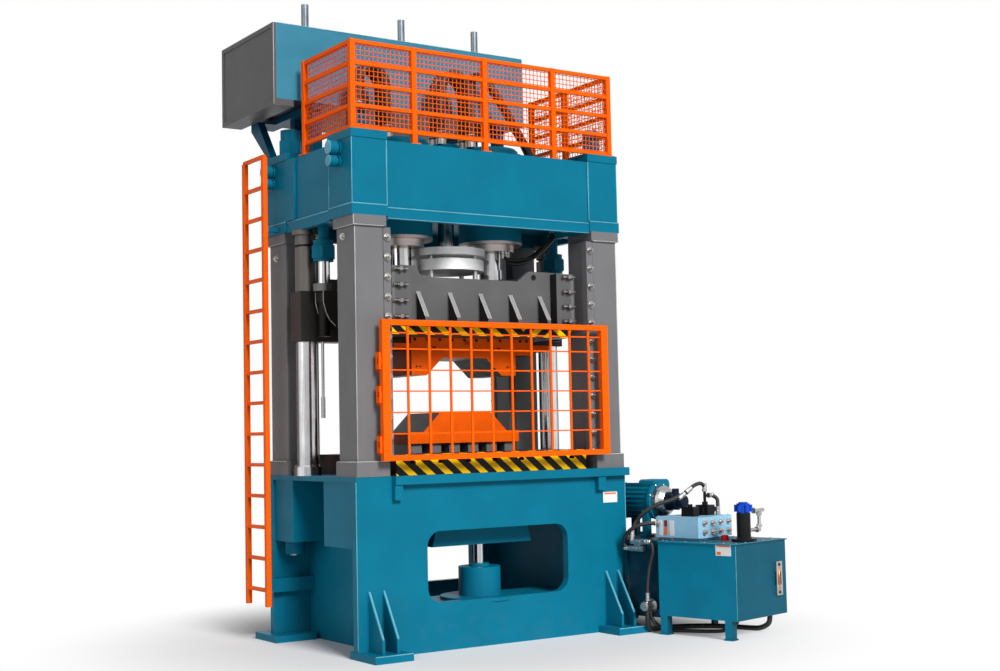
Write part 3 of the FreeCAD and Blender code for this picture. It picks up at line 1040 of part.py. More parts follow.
# ---------------------------------------------------------------- ejector in the base
case = turned("eject_case", [
    ("eject_rod_dia / 2 + ram_gap", "shelf_high + rod_end"), (0, "shelf_high + rod_end"),
    (0, "shelf_high"), ("eject_flange_dia / 2", "shelf_high"),
    ("eject_flange_dia / 2", "shelf_high + eject_flange_high"),
    ("eject_dia / 2", "shelf_high + eject_flange_high"), ("eject_dia / 2", "eject_top"),
    ("eject_gland_dia / 2", "eject_top"), ("eject_gland_dia / 2", "eject_top + eject_gland_high"),
    ("eject_rod_dia / 2 + ram_gap", "eject_top + eject_gland_high")], 0, "-eject_y")
flat_cut = block("eject_flat", ("-eject_flange_dia", "eject_flange_dia"),
                 ("-base_depth_half", "-eject_flat"), ("shelf_low", "eject_top"))
node("ejector_cylinder", cut("ejector_cylinder", case, flat_cut))
node("ejector_rod", rod("ejector_rod", "eject_rod_dia", 0, "-eject_y", "eject_rod_low",
                        "beam_low - eject_rod_low"))
node("ejector_beam", wall("ejector_beam", [
    ("-beam_half", "beam_low"), ("beam_half", "beam_low"),
    ("beam_half - beam_taper", "beam_high"), ("beam_taper - beam_half", "beam_high")],
    "-beam_front", "-beam_back"))

# ---------------------------------------------------------------- power unit
# Drawn in its own frame, u to the right and v to the back, then turned beside the press.
tub = block("tub", (0, "unit_wide"), (0, "unit_long"), ("unit_low", "unit_high - top_thick"))
lid = block("lid", ("-top_lip", "unit_wide + top_lip"), ("-top_lip", "unit_long"),
            ("unit_high - top_thick", "unit_high"))
tub_parts = [tub, lid]
LEG_NEAR, LEG_FAR = "leg_set_back", "unit_long - unit_leg - unit_leg_thick"
LEG_RIGHT = "unit_wide - unit_leg"
for place, u, v, web in (("near_left", 0, LEG_NEAR, 0), ("far_left", 0, LEG_FAR, 0),
                         ("far_right", LEG_RIGHT, LEG_FAR, "unit_leg - unit_leg_thick")):
    tub_parts.append(block(f"leg_{place}", (u, f"{u} + unit_leg"), (v, f"{v} + unit_leg_thick"),
                           (0, "unit_low")))
    tub_parts.append(block(f"legweb_{place}", (f"{u} + {web}", f"{u} + {web} + unit_leg_thick"),
                           (v, f"{v} + unit_leg"), (0, "unit_low")))
    tub_parts.append(block(f"pad_{place}", (f"{u} - unit_leg_thick",
                                            f"{u} + unit_leg + unit_leg_thick"),
                           (f"{v} - unit_leg_thick", f"{v} + unit_leg + unit_leg_thick"),
                           (0, "unit_pad_thick")))
unit_node("unit_tank", fuse("unit_tank", *tub_parts))

# The bench behind the tank is a box frame with a closed upper part for the motor.
bench_solid = slab("bench_solid", [
    ("bench_inset", "unit_long"), ("unit_wide", "unit_long"), ("unit_wide", "bench_end"),
    ("bench_step", "bench_end"), ("bench_step", "bench_turn + 3 * bench_recess"),
    ("bench_nose", "bench_turn + rod_end"), ("bench_inset", "bench_turn")], 0, "unit_high")
bench_gaps = [
    block("bench_under", ("bench_inset - rod_end", "unit_wide + rod_end"),
          ("unit_long - rod_end", "bench_end - unit_leg"), ("-rod_end", "bench_low")),
    block("bench_through", ("bench_step + unit_leg", "unit_wide - unit_leg"),
          ("unit_long - rod_end", "bench_end + rod_end"), ("-rod_end", "bench_low")),
    block("bench_side", ("bench_inset - rod_end", "bench_inset + bench_recess"),
          ("unit_long + unit_leg / 3", "bench_turn - unit_leg / 2"),
          ("bench_low + unit_leg", "unit_high - unit_leg")),
]
unit_node("unit_bench", cut("unit_bench", bench_solid, *bench_gaps))

# Motor: a finned body between two end shields, with a fan cowl, a terminal box and feet.
MOTOR = ("motor_u", "motor_start", "motor_z")
motor_tube = turned("motor_tube", [
    (0, 0), ("shield_dia / 2", 0), ("shield_dia / 2", "shield_thick"),
    ("motor_dia / 2", "shield_thick"), ("motor_dia / 2", "motor_long - shield_thick"),
    ("shield_dia / 2", "motor_long - shield_thick"), ("shield_dia / 2", "motor_long"),
    ("shield_dia / 2", "motor_long + cowl_long - rod_end"),
    ("shield_dia / 2 - rod_end", "motor_long + cowl_long"),
    ("shaft_dia", "motor_long + cowl_long"), ("shaft_dia", "motor_long + cowl_long - wall_thin"),
    ("shield_dia / 2 - 1.5 * rod_end", "motor_long + cowl_long - wall_thin"),
    ("shield_dia / 2 - 1.5 * rod_end", "motor_long"), ("shaft_dia / 2 + pin_gap", "motor_long"),
    ("shaft_dia / 2 + pin_gap", "motor_long - shield_thick"),
    (0, "motor_long - shield_thick")], *MOTOR, "y")
motor_parts = [motor_tube]
for step in range(9):
    height = f"motor_z + {step - 4} * fin_pitch"
    reach = f"sqrt((motor_dia / 2 + fin_high)^2 - ({step - 4} * fin_pitch)^2)"
    motor_parts.append(block(f"fin_{step}", (f"motor_u - {reach}", f"motor_u + {reach}"),
                             ("motor_start + shield_thick",
                              "motor_start + motor_long - shield_thick"),
                             (f"{height} - fin_thick / 2", f"{height} + fin_thick / 2")))
for step in range(7):
    across = f"motor_u + {step - 3} * fin_pitch"
    reach = f"sqrt((motor_dia / 2 + fin_high)^2 - ({step - 3} * fin_pitch)^2)"
    motor_parts.append(block(f"upper_fin_{step}", (f"{across} - fin_thick / 2",
                                                   f"{across} + fin_thick / 2"),
                             ("motor_start + shield_thick",
                              "motor_start + motor_long - shield_thick"),
                             ("motor_z", f"motor_z + {reach}")))
TERM_LOW, TERM_TOP = "motor_u + term_side - term_wide / 2", "motor_z + motor_dia / 2 + term_high"
motor_parts.append(wall("terminal_box", [
    (TERM_LOW, "motor_z"), (f"{TERM_LOW} + term_wide", "motor_z"),
    (f"{TERM_LOW} + term_wide", f"{TERM_TOP} - term_soft"),
    (f"{TERM_LOW} + term_wide - term_soft / 3", f"{TERM_TOP} - term_soft / 3"),
    (f"{TERM_LOW} + term_wide - term_soft", TERM_TOP), (f"{TERM_LOW} + term_soft", TERM_TOP),
    (f"{TERM_LOW} + term_soft / 3", f"{TERM_TOP} - term_soft / 3"),
    (TERM_LOW, f"{TERM_TOP} - term_soft")], "motor_start + shield_thick / 2",
    "motor_start + shield_thick / 2 + term_long"))
for place, sign in (("left", -1), ("right", 1)):
    for end, along in (("drive", "motor_start + shield_thick"),
                       ("fan", "motor_start + motor_long - shield_thick - motor_foot")):
        motor_parts.append(block(f"motor_foot_{place}_{end}",
                                 (f"motor_u + {sign} * motor_foot_x - motor_foot / 2",
                                  f"motor_u + {sign} * motor_foot_x + motor_foot / 2"),
                                 (along, f"{along} + motor_foot"),
                                 ("unit_high", "motor_z - motor_dia / 4")))
        motor_parts.append(block(f"motor_sole_{place}_{end}",
                                 (f"motor_u + {sign} * motor_foot_x - motor_foot",
                                  f"motor_u + {sign} * motor_foot_x + motor_foot"),
                                 (f"{along} - rod_end", f"{along} + motor_foot + rod_end"),
                                 ("unit_high", "unit_high + 2 * rod_end")))
unit_node("motor", cut("motor", fuse("motor_solid", *motor_parts),
                       rod("motor_core", "shaft_dia + 2 * pin_gap", "motor_u",
                           "motor_start + motor_long - shield_thick", "motor_z",
                           "shield_thick", "y")))
blades = [rod("fan_hub", "fan_hub_dia", "motor_u", "motor_start + motor_long + rod_end",
              "motor_z", "cowl_long / 2", "y"),
          rod("fan_shaft", "shaft_dia", "motor_u", "motor_start + motor_long - shield_thick",
              "motor_z", "shield_thick + cowl_long / 2", "y")]
for step in range(6):
    blade = doc.addObject("Part::Box", f"fan_blade_{step}")
    blade.setExpression("Length", bound("fan_dia / 2"))
    blade.setExpression("Width", bound("cowl_long / 2 - rod_end"))
    blade.setExpression("Height", bound("rod_end / 2"))
    blade.Placement = FreeCAD.Placement(V(), FreeCAD.Rotation(V(0, 1, 0), 60 * step))
    blades.append(move(blade, "motor_u", "motor_start + motor_long + rod_end", "motor_z"))
unit_node("motor_fan", fuse("motor_fan", *blades))

BELL_START = "motor_start - bell_long"
unit_node("bell_housing", turned("bell_housing", [
    (0, 0), ("bell_small / 2", 0), ("bell_dia / 2 - shield_thick", "bell_long * 0.1"),
    ("bell_dia / 2 - rod_end", "bell_long * 0.3"), ("bell_dia / 2", "bell_long * 0.55"),
    ("bell_dia / 2", "bell_long"), (0, "bell_long")],
    "motor_u", BELL_START, "motor_z", "y"))
PUMP_START = f"{BELL_START} - pump_long"
pump_body = turned("pump_body", [
    (0, 0), ("pump_dia * 0.36", 0), ("pump_dia * 0.42", "pump_long * 0.1"),
    ("pump_dia * 0.42", "pump_long * 0.35"), ("pump_dia / 2", "pump_long * 0.45"),
    ("pump_dia / 2", "pump_long * 0.85"), ("bell_small / 2 - rod_end", "pump_long * 0.85"),
    ("bell_small / 2 - rod_end", "pump_long"), (0, "pump_long")],
    "motor_u", PUMP_START, "motor_z", "y")
pump_port = rod("pump_port", "pump_dia * 0.42", "motor_u", f"{PUMP_START} + pump_long * 0.6",
                "motor_z", "pump_dia * 0.75")
unit_node("pump", fuse("pump", pump_body, pump_port))

# Manifold box on low feet, with eight plugged ports and a valve on top.
BOX = ("box_u", "box_u + box_wide")
BOX_V = ("box_v", "box_v + box_long")
box_body = slab("box_body", [("box_u", "box_v"), ("box_u + box_wide", "box_v"),
                             ("box_u + box_wide", "box_v + box_long"),
                             ("box_u", "box_v + box_long")], "box_low", "box_high")
soften(box_body, V(0, 0, 1), "rod_end", "PartDesign::Chamfer")
box_foot = block("box_foot", ("box_u + motor_foot / 2", "box_u + box_wide - motor_foot / 2"),
                 ("box_v + motor_foot / 2", "box_v + box_long - motor_foot / 2"),
                 ("unit_high", "box_low"))
unit_node("manifold", fuse("manifold", box_body, box_foot))
plugs = []
for row in range(2):
    for column in range(4):
        place = (f"box_u + box_wide / 2 + {column - 1.5} * port_pitch",
                 f"box_low + (box_high - box_low) * {0.28 + 0.44 * row}")
        rim = rod(f"plug_rim_{row}_{column}", "port_dia * 1.6", place[0], "box_v - rod_end",
                  place[1], "rod_end", "y")
        stem = nut(f"plug_hex_{row}_{column}", "port_dia", place[0], "box_v - port_long",
                   place[1], "port_long", "y")
        plugs.append(fuse(f"plug_{row}_{column}", rim, stem))
unit_node("port_plugs", gather("port_plugs", *plugs))
valve_parts = [
    block("valve_block", ("valve_u", "valve_u + valve_wide"),
          ("valve_v", "valve_v + 1.2 * valve_wide"), ("box_high", "box_high + valve_high")),
    rod("valve_coil", "valve_high * 0.6", "valve_u + valve_wide", "valve_v + 0.6 * valve_wide",
        "box_high + 0.5 * valve_high", "valve_high * 0.9", "x"),
    rod("valve_top", "valve_high * 0.3", "valve_u + valve_wide / 2",
        "valve_v + 0.6 * valve_wide", "box_high + valve_high / 2",
        "tee_top - box_high - valve_high / 2"),
    nut("valve_union", "valve_high * 0.5", "valve_u + valve_wide / 2",
        "valve_v + 0.6 * valve_wide", "box_high + valve_high", "valve_high * 0.3"),
    rod("tee_arm", "valve_high * 0.3", "valve_u + valve_wide / 2",
        "valve_v + 0.6 * valve_wide", "tee_low - valve_high / 5", "tee_reach", "x"),
    block("valve_port", ("valve_u - valve_wide * 0.3", "valve_u"),
          ("valve_v + 0.3 * valve_wide", "valve_v + 0.9 * valve_wide"),
          ("box_high + 0.2 * valve_high", "box_high + 0.8 * valve_high"))]
relief_parts = [
    block("relief_block", ("relief_u - relief_wide / 2", "relief_u + relief_wide / 2"),
          ("valve_v", "valve_v + 1.2 * valve_wide"), ("box_high", "relief_top - 2 * rod_end")),
    rod("relief_stem", "relief_wide * 0.5", "relief_u", "valve_v + 0.6 * valve_wide",
        "box_high", "relief_top - box_high")]
unit_node("valve_block", gather("valves", fuse("valve_stack", *valve_parts),
                                fuse("relief_valve", *relief_parts)))

# Return filter with a flange, a body and a star-shaped cap, and its side pipe.
filter_base = turned("filter_base", [
    (0, "unit_high"), ("filter_flange_dia / 2", "unit_high"),
    ("filter_flange_dia / 2", "unit_high + filter_flange_high"),
    ("filter_dia / 2 + rod_end", "unit_high + filter_flange_high"),
    ("filter_dia / 2", "unit_high + filter_flange_high + rod_end"),
    ("filter_dia / 2", "unit_high + filter_flange_high + filter_high"),
    (0, "unit_high + filter_flange_high + filter_high")], "filter_u", "filter_v")
unit_node("filter_body", filter_base)
FILTER_TOP = "unit_high + filter_flange_high + filter_high"
cap_disc = rod("cap_disc", "filter_cap_dia - 4 * rod_end", "filter_u", "filter_v", FILTER_TOP,
               "filter_cap_high")
lobes = [cap_disc, rod("cap_crown", "filter_cap_dia * 0.5", "filter_u", "filter_v", FILTER_TOP,
                       "filter_cap_high + rod_end")]
for step in range(6):
    lobes.append(rod(f"cap_lobe_{step}", "3 * rod_end",
                     f"filter_u + (filter_cap_dia / 2 - 1.5 * rod_end) * cos({60 * step})",
                     f"filter_v + (filter_cap_dia / 2 - 1.5 * rod_end) * sin({60 * step})",
                     f"{FILTER_TOP} + rod_end", "filter_cap_high - 2 * rod_end"))
unit_node("filter_cap", fuse("filter_cap", *lobes))
PIPE_Z = "unit_high + filter_flange_high + filter_high * 0.3"
PIPE_U = "filter_u + filter_dia / 2 + pipe_reach"
PIPE_TOP = f"{PIPE_Z} + pipe_reach * 0.9"
pipe_parts = [
    rod("pipe_out", "port_dia", "filter_u + filter_dia / 2 + hole_gap / 10", "filter_v", PIPE_Z,
        "pipe_reach", "x"),
    nut("pipe_nut", "port_dia * 1.5", "filter_u + filter_dia / 2 + hole_gap / 10", "filter_v",
        PIPE_Z, "port_dia * 0.8", "x"),
    nut("pipe_far_nut", "port_dia * 1.5", f"{PIPE_U} - port_dia * 1.6", "filter_v", PIPE_Z,
        "port_dia * 0.8", "x"),
    rod("pipe_down", "port_dia", PIPE_U, "filter_v", f"{PIPE_Z} - port_dia * 0.6",
        "pipe_reach * 0.9 + port_dia"),
    nut("pipe_low_nut", "port_dia * 1.4", PIPE_U, "filter_v", f"{PIPE_Z} + port_dia * 0.6",
        "port_dia * 0.8"),
    nut("pipe_high_nut", "port_dia * 1.4", PIPE_U, "filter_v", f"{PIPE_TOP} - port_dia * 1.4",
        "port_dia * 0.8"),
    rod("pipe_tee", "port_dia * 1.1", f"{PIPE_U} - pipe_reach * 0.5", "filter_v", PIPE_TOP,
        "pipe_reach * 0.85", "x"),
    nut("pipe_tee_nut", "port_dia * 1.5", f"{PIPE_U} - pipe_reach * 0.5", "filter_v", PIPE_TOP,
        "port_dia * 0.8", "x")]
unit_node("filter_pipe", fuse("filter_pipe", *pipe_parts))
unit_node("filler_cap", turned("filler_cap", [
    (0, "unit_high"), ("filler_dia / 2", "unit_high"), ("filler_dia / 2",
                                                        "unit_high + filler_high * 0.8"),
    ("filler_dia / 2 - rod_end", "unit_high + filler_high"), (0, "unit_high + filler_high")],
    "filler_u", "filler_v"))
gauge_mid = "gauge_u + gauge_wide / 2"
level_parts = [
    block("gauge_low", ("gauge_u", "gauge_u + gauge_wide"), ("-gauge_deep", 0),
          ("gauge_low", "gauge_low + gauge_wide")),
    block("gauge_high", ("gauge_u", "gauge_u + gauge_wide"), ("-gauge_deep", 0),
          ("gauge_high - gauge_wide", "gauge_high")),
    block("gauge_glass", (f"{gauge_mid} - gauge_wide * 0.3", f"{gauge_mid} + gauge_wide * 0.3"),
          ("-gauge_deep * 0.7", 0), ("gauge_low", "gauge_high"))]
unit_node("level_gauge", fuse("level_gauge", *level_parts))

# Fittings that the hoses screw into: a suction port and two short pipes on the bench side.
port_parts = [
    rod("suction_stub", "suction_dia * 0.7", "bench_inset - suction_out", "port_v", "port_z",
        "suction_out", "x"),
    rod("suction_flange", "suction_dia", "bench_inset - rod_end", "port_v", "port_z",
        "rod_end", "x"),
    rod("suction_rim", "suction_rim_dia", "bench_inset - suction_out - 2 * rod_end", "port_v",
        "port_z", "2 * rod_end", "x")]
pipe_fittings = []
for place in ("pipe_high", "pipe_low"):
    pipe_fittings.append(rod(f"{place}_run", "pipe_dia", "pipe_u", "pipe_start", place,
                             "pipe_end - pipe_start", "y"))
    for step in range(4):
        along = f"pipe_start + {step} * (pipe_end - pipe_start - pipe_dia) / 3"
        pipe_fittings.append(nut(f"{place}_nut_{step}", "pipe_dia * 1.25", "pipe_u", along,
                                 place, "pipe_dia * 0.8", "y"))
for step in range(2):
    along = f"pipe_start + pipe_dia + {step} * (pipe_end - pipe_start - 3 * pipe_dia)"
    pipe_fittings.append(block(f"pipe_foot_{step}", ("pipe_u", "bench_inset"),
                               (along, f"{along} + pipe_dia"), ("pipe_low", "pipe_high")))
pipe_fittings.append(nut("pipe_riser", "pipe_dia * 1.1", "pipe_u", "pipe_end - pipe_dia / 2",
                         "pipe_high", "pipe_dia * 1.1"))
unit_node("hose_fittings", gather("fittings", fuse("suction_port", *port_parts),
                                  fuse("pipe_fittings", *pipe_fittings)))

# Pressure hoses that the fittings hold at both ends.
D = SIZE
VALVE = V(D.valve_u + D.valve_wide / 2, D.valve_mid, 0)
RISER = V(D.pipe_u, D.pipe_end - D.pipe_dia / 2, D.pipe_high + D.pipe_dia * 1.1)
BOX_SIDE = V(D.box_u, D.box_v + D.box_long - 45, D.box_low + 140)
STUB_TOP = D.port_z + D.suction_dia * 0.35
routes = {
    "hose_over": [VALVE + V(0, 0, D.tee_top), VALVE + V(0, 0, D.tee_top + 56),
                  V(560, 768, 1425), V(465, 780, 1405), V(385, 800, 1350), V(316, 815, 1309),
                  V(230, 893, 1266), V(160, 969, 1242), V(100, 1040, 1198), V(60, 1109, 1142),
                  V(50, 1180, 1070), RISER + V(0, 0, 68), RISER],
    "hose_right": [VALVE + V(D.tee_reach, 0, D.tee_low - D.valve_high / 5),
                   VALVE + V(2 * D.tee_reach, 0, D.tee_low - D.valve_high / 5),
                   V(770, 715, 1265), V(722, 680, 1190), V(722, 680, D.box_high)],
    "hose_side": [BOX_SIDE, BOX_SIDE - V(80, 0, 0), V(40, 1080, 1050), V(-20, 1180, 1005),
                  V(-25, 1260, 940), V(8, 1312, 850), V(D.pipe_u, 1281, D.pipe_low),
                  V(D.pipe_u, D.pipe_end, D.pipe_low)],
    "hose_down": [V(D.pipe_u, D.pipe_start, D.pipe_high), V(D.pipe_u, 996, D.pipe_high),
                  V(D.pipe_u, 958, 835), V(D.pipe_u, 960, 760), V(8, 1000, 650),
                  V(-4, D.port_v - 6, 520), V(-8, D.port_v, 400), V(-8, D.port_v, STUB_TOP)],
}
tubes = []
for name, route in routes.items():
    tube = doc.addObject("Part::Feature", name)
    tube.Shape = hose(name, route, D.hose_press)
    tubes.append(tube)
unit_node("pressure_hoses", gather("pressure_tubes", *tubes))

# Two hoses lie on the floor under the tank, from the suction port to the tank's bottom.
PORT_LOW = D.port_z - D.suction_dia * 0.35
floor_routes = {
    "floor_hose_thick": (D.hose_thick, [
        V(-18, D.port_v, PORT_LOW), V(-18, D.port_v, 112), V(20, 1034, 52), V(110, 1046, 27),
        V(240, 1036, 27), V(370, 965, 27), V(490, 860, 27), V(590, 730, 27), V(650, 590, 27),
        V(680, 450, 27), V(692, 330, 27), V(700, 215, 31), V(690, 120, 75), V(684, 92, 120),
        V(684, 92, D.unit_low)]),
    "floor_hose_thin": (D.hose_thin, [
        V(30, D.port_v, PORT_LOW), V(30, D.port_v, 152), V(56, 976, 80), V(116, 915, 24),
        V(190, 830, 20), V(226, 725, 20), V(270, 610, 20), V(330, 510, 20), V(396, 420, 22),
        V(440, 330, 70), V(452, 300, 120), V(452, 300, D.unit_low)]),
}
for label, (diameter, route) in floor_routes.items():
    tube = doc.addObject("Part::Feature", label + "_tube")
    tube.Shape = hose(label, route, diameter)
    unit_node(label, tube)

# Fill hoses: two pairs of arches, one hose from the tank, two that droop under the crown.
ROOF_Z = D.crown_roof - D.roof_drop
LEG_Y = (-D.cyl_y - D.arch_gap, -D.cyl_y + D.arch_gap)
fill_tubes = []
stubs = []


def fill_hose(name, route, diameter):
    tube = doc.addObject("Part::Feature", name)
    tube.Shape = hose(name, route, diameter)
    fill_tubes.append(tube)


for pair, (left, right, ground, other, top) in enumerate((
        ("arch_one_left", "arch_one_right", ROOF, "cyl_top", "arch_one_top"),
        ("arch_two_left", "arch_two_right", "cyl_top", "cyl_top", "arch_two_top"))):
    for row, along in enumerate(LEG_Y):
        x0 = -getattr(D, left)
        x1 = getattr(D, right) if pair else -getattr(D, right)
        peak = getattr(D, top)
        low = (ROOF_Z if ground == ROOF else D.cyl_top) + D.stub_high
        third = (x1 - x0) / 4
        fill_hose(f"arch_{pair}_{row}", [
            V(x0, along, low), V(x0, along, peak - 330), V(x0 + third * 0.35, along, peak - 95),
            V(x0 + 2 * third, along, peak), V(x1 - third * 0.35, along, peak - 95),
            V(x1, along, peak - 330), V(x1, along, D.cyl_top + D.stub_high)], D.hose_fill)
        sign = "" if pair else "-"
        stubs.append(rod(f"stub_{pair}_{row}_left", "hose_fill + rod_end", f"-{left}",
                         f"-cyl_y {'-' if row == 0 else '+'} arch_gap", ground, "stub_high"))
        stubs.append(rod(f"stub_{pair}_{row}_right", "hose_fill + rod_end", f"{sign}{right}",
                         f"-cyl_y {'-' if row == 0 else '+'} arch_gap", other, "stub_high"))
fill_hose("tank_hose", [V(540, D.tank_front, 5650), V(540, 130, 5650), V(585, 40, 5560),
                        V(680, 10, 5430), V(800, 0, 5250), V(920, 0, 5070), V(1020, 0, 4925),
                        V(1090, 0, 4800), V(1090, 0, ROOF_Z)], D.hose_fill)
for at, (x_far, y_far, x_near, y_near, low) in enumerate((
        (1110, -300, 640, -190, 3680), (1085, -352, 595, -222, 3650),
        (1140, -352, 545, -236, 3690))):
    fill_hose(f"droop_{at}", [
        V(x_far, y_far, D.crown_bottom + D.crown_recess), V(x_far, y_far, 3940 + 20 * at),
        V(x_far - 80, y_far - 5, 3850 + 20 * at), V(x_far - 200, y_far, low + 90),
        V(x_far - 320, y_far, low + 20), V(x_near + 90, y_near - 60, low - 10),
        V(x_near, y_near, low + 30), V(x_near, y_near, D.gland_low)], D.hose_droop)
node("fill_hoses", gather("fill_hoses", *fill_tubes))
node("hose_stubs", gather("hose_stubs", *stubs))

# ---------------------------------------------------------------- checks and export
doc.recompute()
for thing in doc.Objects:
    if "Invalid" in thing.State or "Error" in thing.State:
        raise RuntimeError(f"{thing.Name} ({thing.Label}) failed: {thing.State}")
for label, thing in NODES.items():
    shape = thing.Shape
    if shape.isNull() or not shape.isValid() or shape.Volume <= 0:
        raise RuntimeError(f"{label} has no valid shape")
    shape.exportStep(f"parts/{label}.step")
print(len(NODES), "nodes")
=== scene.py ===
# %% [markdown]
# # Dressing a four-post hydraulic press
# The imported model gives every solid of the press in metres, standing on the floor, with its
# parts already tied to the bodies that move. This lesson puts finishes on those solids, swaps
# the plain hoses and nets for finer ones, and adds the small ironwork that a press carries.

# %% Load the frame
import json
import math

import bpy
import numpy as np
from mathutils import Matrix, Vector


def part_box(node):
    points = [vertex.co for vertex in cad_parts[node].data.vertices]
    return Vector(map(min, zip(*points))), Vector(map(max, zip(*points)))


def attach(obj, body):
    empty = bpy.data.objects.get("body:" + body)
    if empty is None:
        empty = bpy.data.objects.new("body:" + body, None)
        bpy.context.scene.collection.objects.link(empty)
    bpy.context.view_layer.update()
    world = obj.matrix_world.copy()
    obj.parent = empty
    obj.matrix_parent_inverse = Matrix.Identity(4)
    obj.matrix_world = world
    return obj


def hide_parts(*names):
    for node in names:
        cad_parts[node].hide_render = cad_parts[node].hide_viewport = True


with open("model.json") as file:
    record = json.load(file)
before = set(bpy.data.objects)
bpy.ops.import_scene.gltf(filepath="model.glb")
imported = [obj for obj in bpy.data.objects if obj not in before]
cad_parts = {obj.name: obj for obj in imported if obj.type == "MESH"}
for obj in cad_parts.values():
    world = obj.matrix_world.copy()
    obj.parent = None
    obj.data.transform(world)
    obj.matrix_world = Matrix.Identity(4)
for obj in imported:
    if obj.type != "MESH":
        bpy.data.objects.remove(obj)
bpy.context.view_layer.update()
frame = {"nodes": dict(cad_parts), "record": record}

# %% [markdown]
# ## The camera
# The press was seen from its front left corner, from the height of a person's eyes and from
# about fourteen metres away with a mild long lens. The matrix of a camera holds its right, up
# and backward directions, so three angles and a place are all that it takes.

# %% Camera
EYE = Vector((-7.6494, -12.2933, 1.9649))
YAW, PITCH, ROLL = (math.radians(a) for a in (34.031, 3.801, -1.206))
LENS_MM, SENSOR_MM = 52.474, 36.0


def camera_axes(yaw, pitch, roll):
    """Right, up and forward: yaw turns +Y towards +X, pitch lifts the view, roll tips it."""
    forward = Vector((math.sin(yaw) * math.cos(pitch), math.cos(yaw) * math.cos(pitch),
                      math.sin(pitch)))
    level = Vector((math.cos(yaw), -math.sin(yaw), 0))
    upright = level.cross(forward)
    right = level * math.cos(roll) + upright * math.sin(roll)
    return right, upright * math.cos(roll) - level * math.sin(roll), forward


right, upright, forward = camera_axes(YAW, PITCH, ROLL)
lens = bpy.data.cameras.new("eye")
lens.lens, lens.sensor_width, lens.clip_end = LENS_MM, SENSOR_MM, 200
eye = bpy.data.objects.new("eye", lens)
eye.matrix_world = Matrix((
    (right.x, upright.x, -forward.x, EYE.x),
    (right.y, upright.y, -forward.y, EYE.y),
    (right.z, upright.z, -forward.z, EYE.z),
    (0, 0, 0, 1)))
bpy.context.scene.collection.objects.link(eye)
bpy.context.scene.camera = eye
print("camera", round(Vector(EYE[:2]).length, 1), "m from the press,", LENS_MM, "mm lens")

# %% [markdown]
# ## The hoses on the floor
# Two rubber hoses leave the back of the power unit, drop to the floor, lie under its tank and
# rise to two ports in the tank's bottom. Each is one smooth NURBS curve whose control points
# are listed, so it bends as rubber does. The power unit stands turned by 13 degrees, and
# the routes are written in its own directions: u along its front, v towards its back.

# %% Floor hoses
UNIT_X, UNIT_Y, UNIT_TURN = 1.692, -2.263, math.radians(13)


def unit_place(points):
    """Turns points (u, v, z) of the power unit by 13 degrees and moves them to its corner."""
    points = np.asarray(points, float)
    u, v, z = points[..., 0], points[..., 1], points[..., 2]
    return np.stack([UNIT_X + u * math.cos(UNIT_TURN) - v * math.sin(UNIT_TURN),
                     UNIT_Y + u * math.sin(UNIT_TURN) + v * math.cos(UNIT_TURN), z], -1)


def nurbs(name, points, diameter):
    """A round hose along the smooth NURBS line that the points pull, through its two ends."""
    data = bpy.data.curves.new(name, "CURVE")
    data.dimensions = "3D"
    data.bevel_depth, data.bevel_resolution = 1.0, 6
    data.use_fill_caps = True
    spline = data.splines.new("NURBS")
    spline.points.add(len(points) - 1)
    spline.points.foreach_set("co", np.c_[points, np.ones(len(points))].ravel())
    spline.points.foreach_set("radius", np.full(len(points), diameter / 2))
    spline.order_u = 3
    spline.use_endpoint_u = True
    spline.resolution_u = 12
    piece = bpy.data.objects.new(name, data)
    bpy.context.scene.collection.objects.link(piece)
    return piece


THICK, THIN = 0.050, 0.036
thick_route = unit_place([
    (-0.018, 1.022, 0.2165), (-0.018, 1.022, 0.112), (0.020, 1.034, 0.052),
    (0.110, 1.046, 0.027), (0.240, 1.036, 0.027), (0.370, 0.965, 0.027),
    (0.490, 0.860, 0.027), (0.590, 0.730, 0.027), (0.650, 0.590, 0.027),
    (0.680, 0.450, 0.027), (0.692, 0.330, 0.027), (0.700, 0.215, 0.031),
    (0.690, 0.120, 0.075), (0.684, 0.092, 0.120), (0.684, 0.092, 0.180)])
thin_route = unit_place([
    (0.030, 1.022, 0.2165), (0.030, 1.022, 0.152), (0.056, 0.976, 0.080),
    (0.116, 0.915, 0.024), (0.190, 0.830, 0.020), (0.226, 0.725, 0.020),
    (0.270, 0.610, 0.020), (0.330, 0.510, 0.020), (0.396, 0.420, 0.022),
    (0.440, 0.330, 0.070), (0.452, 0.300, 0.120), (0.452, 0.300, 0.180)])


def smooth_length(piece):
    """The length of a curve's own line, read from the mesh that it gives with no bevel."""
    depth, piece.data.bevel_depth = piece.data.bevel_depth, 0
    line = bpy.data.meshes.new_from_object(piece)
    piece.data.bevel_depth = depth
    at = np.empty(len(line.vertices) * 3)
    line.vertices.foreach_get("co", at)
    bpy.data.meshes.remove(line)
    return float(np.linalg.norm(np.diff(at.reshape(-1, 3), axis=0), axis=1).sum())


for name, node, route, diameter in (
        ("hose_thick", "floor_hose_thick", thick_route, THICK),
        ("hose_thin", "floor_hose_thin", thin_route, THIN)):
    hose = nurbs(name, route, diameter)
    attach(hose, "frame")
    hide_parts(node)
    length = smooth_length(hose)
    print(name, "is", round(length, 3), "m long")

# %% [markdown]
# ## Finishes: a small language for shaders
# A painted surface is a formula of place: a base colour, a little cloudiness, dust low down.
# The formula could be wired by hand, node by node. Writing it as Python keeps it readable, so
# `Value` wraps a socket and turns + - * / < > into Math nodes.

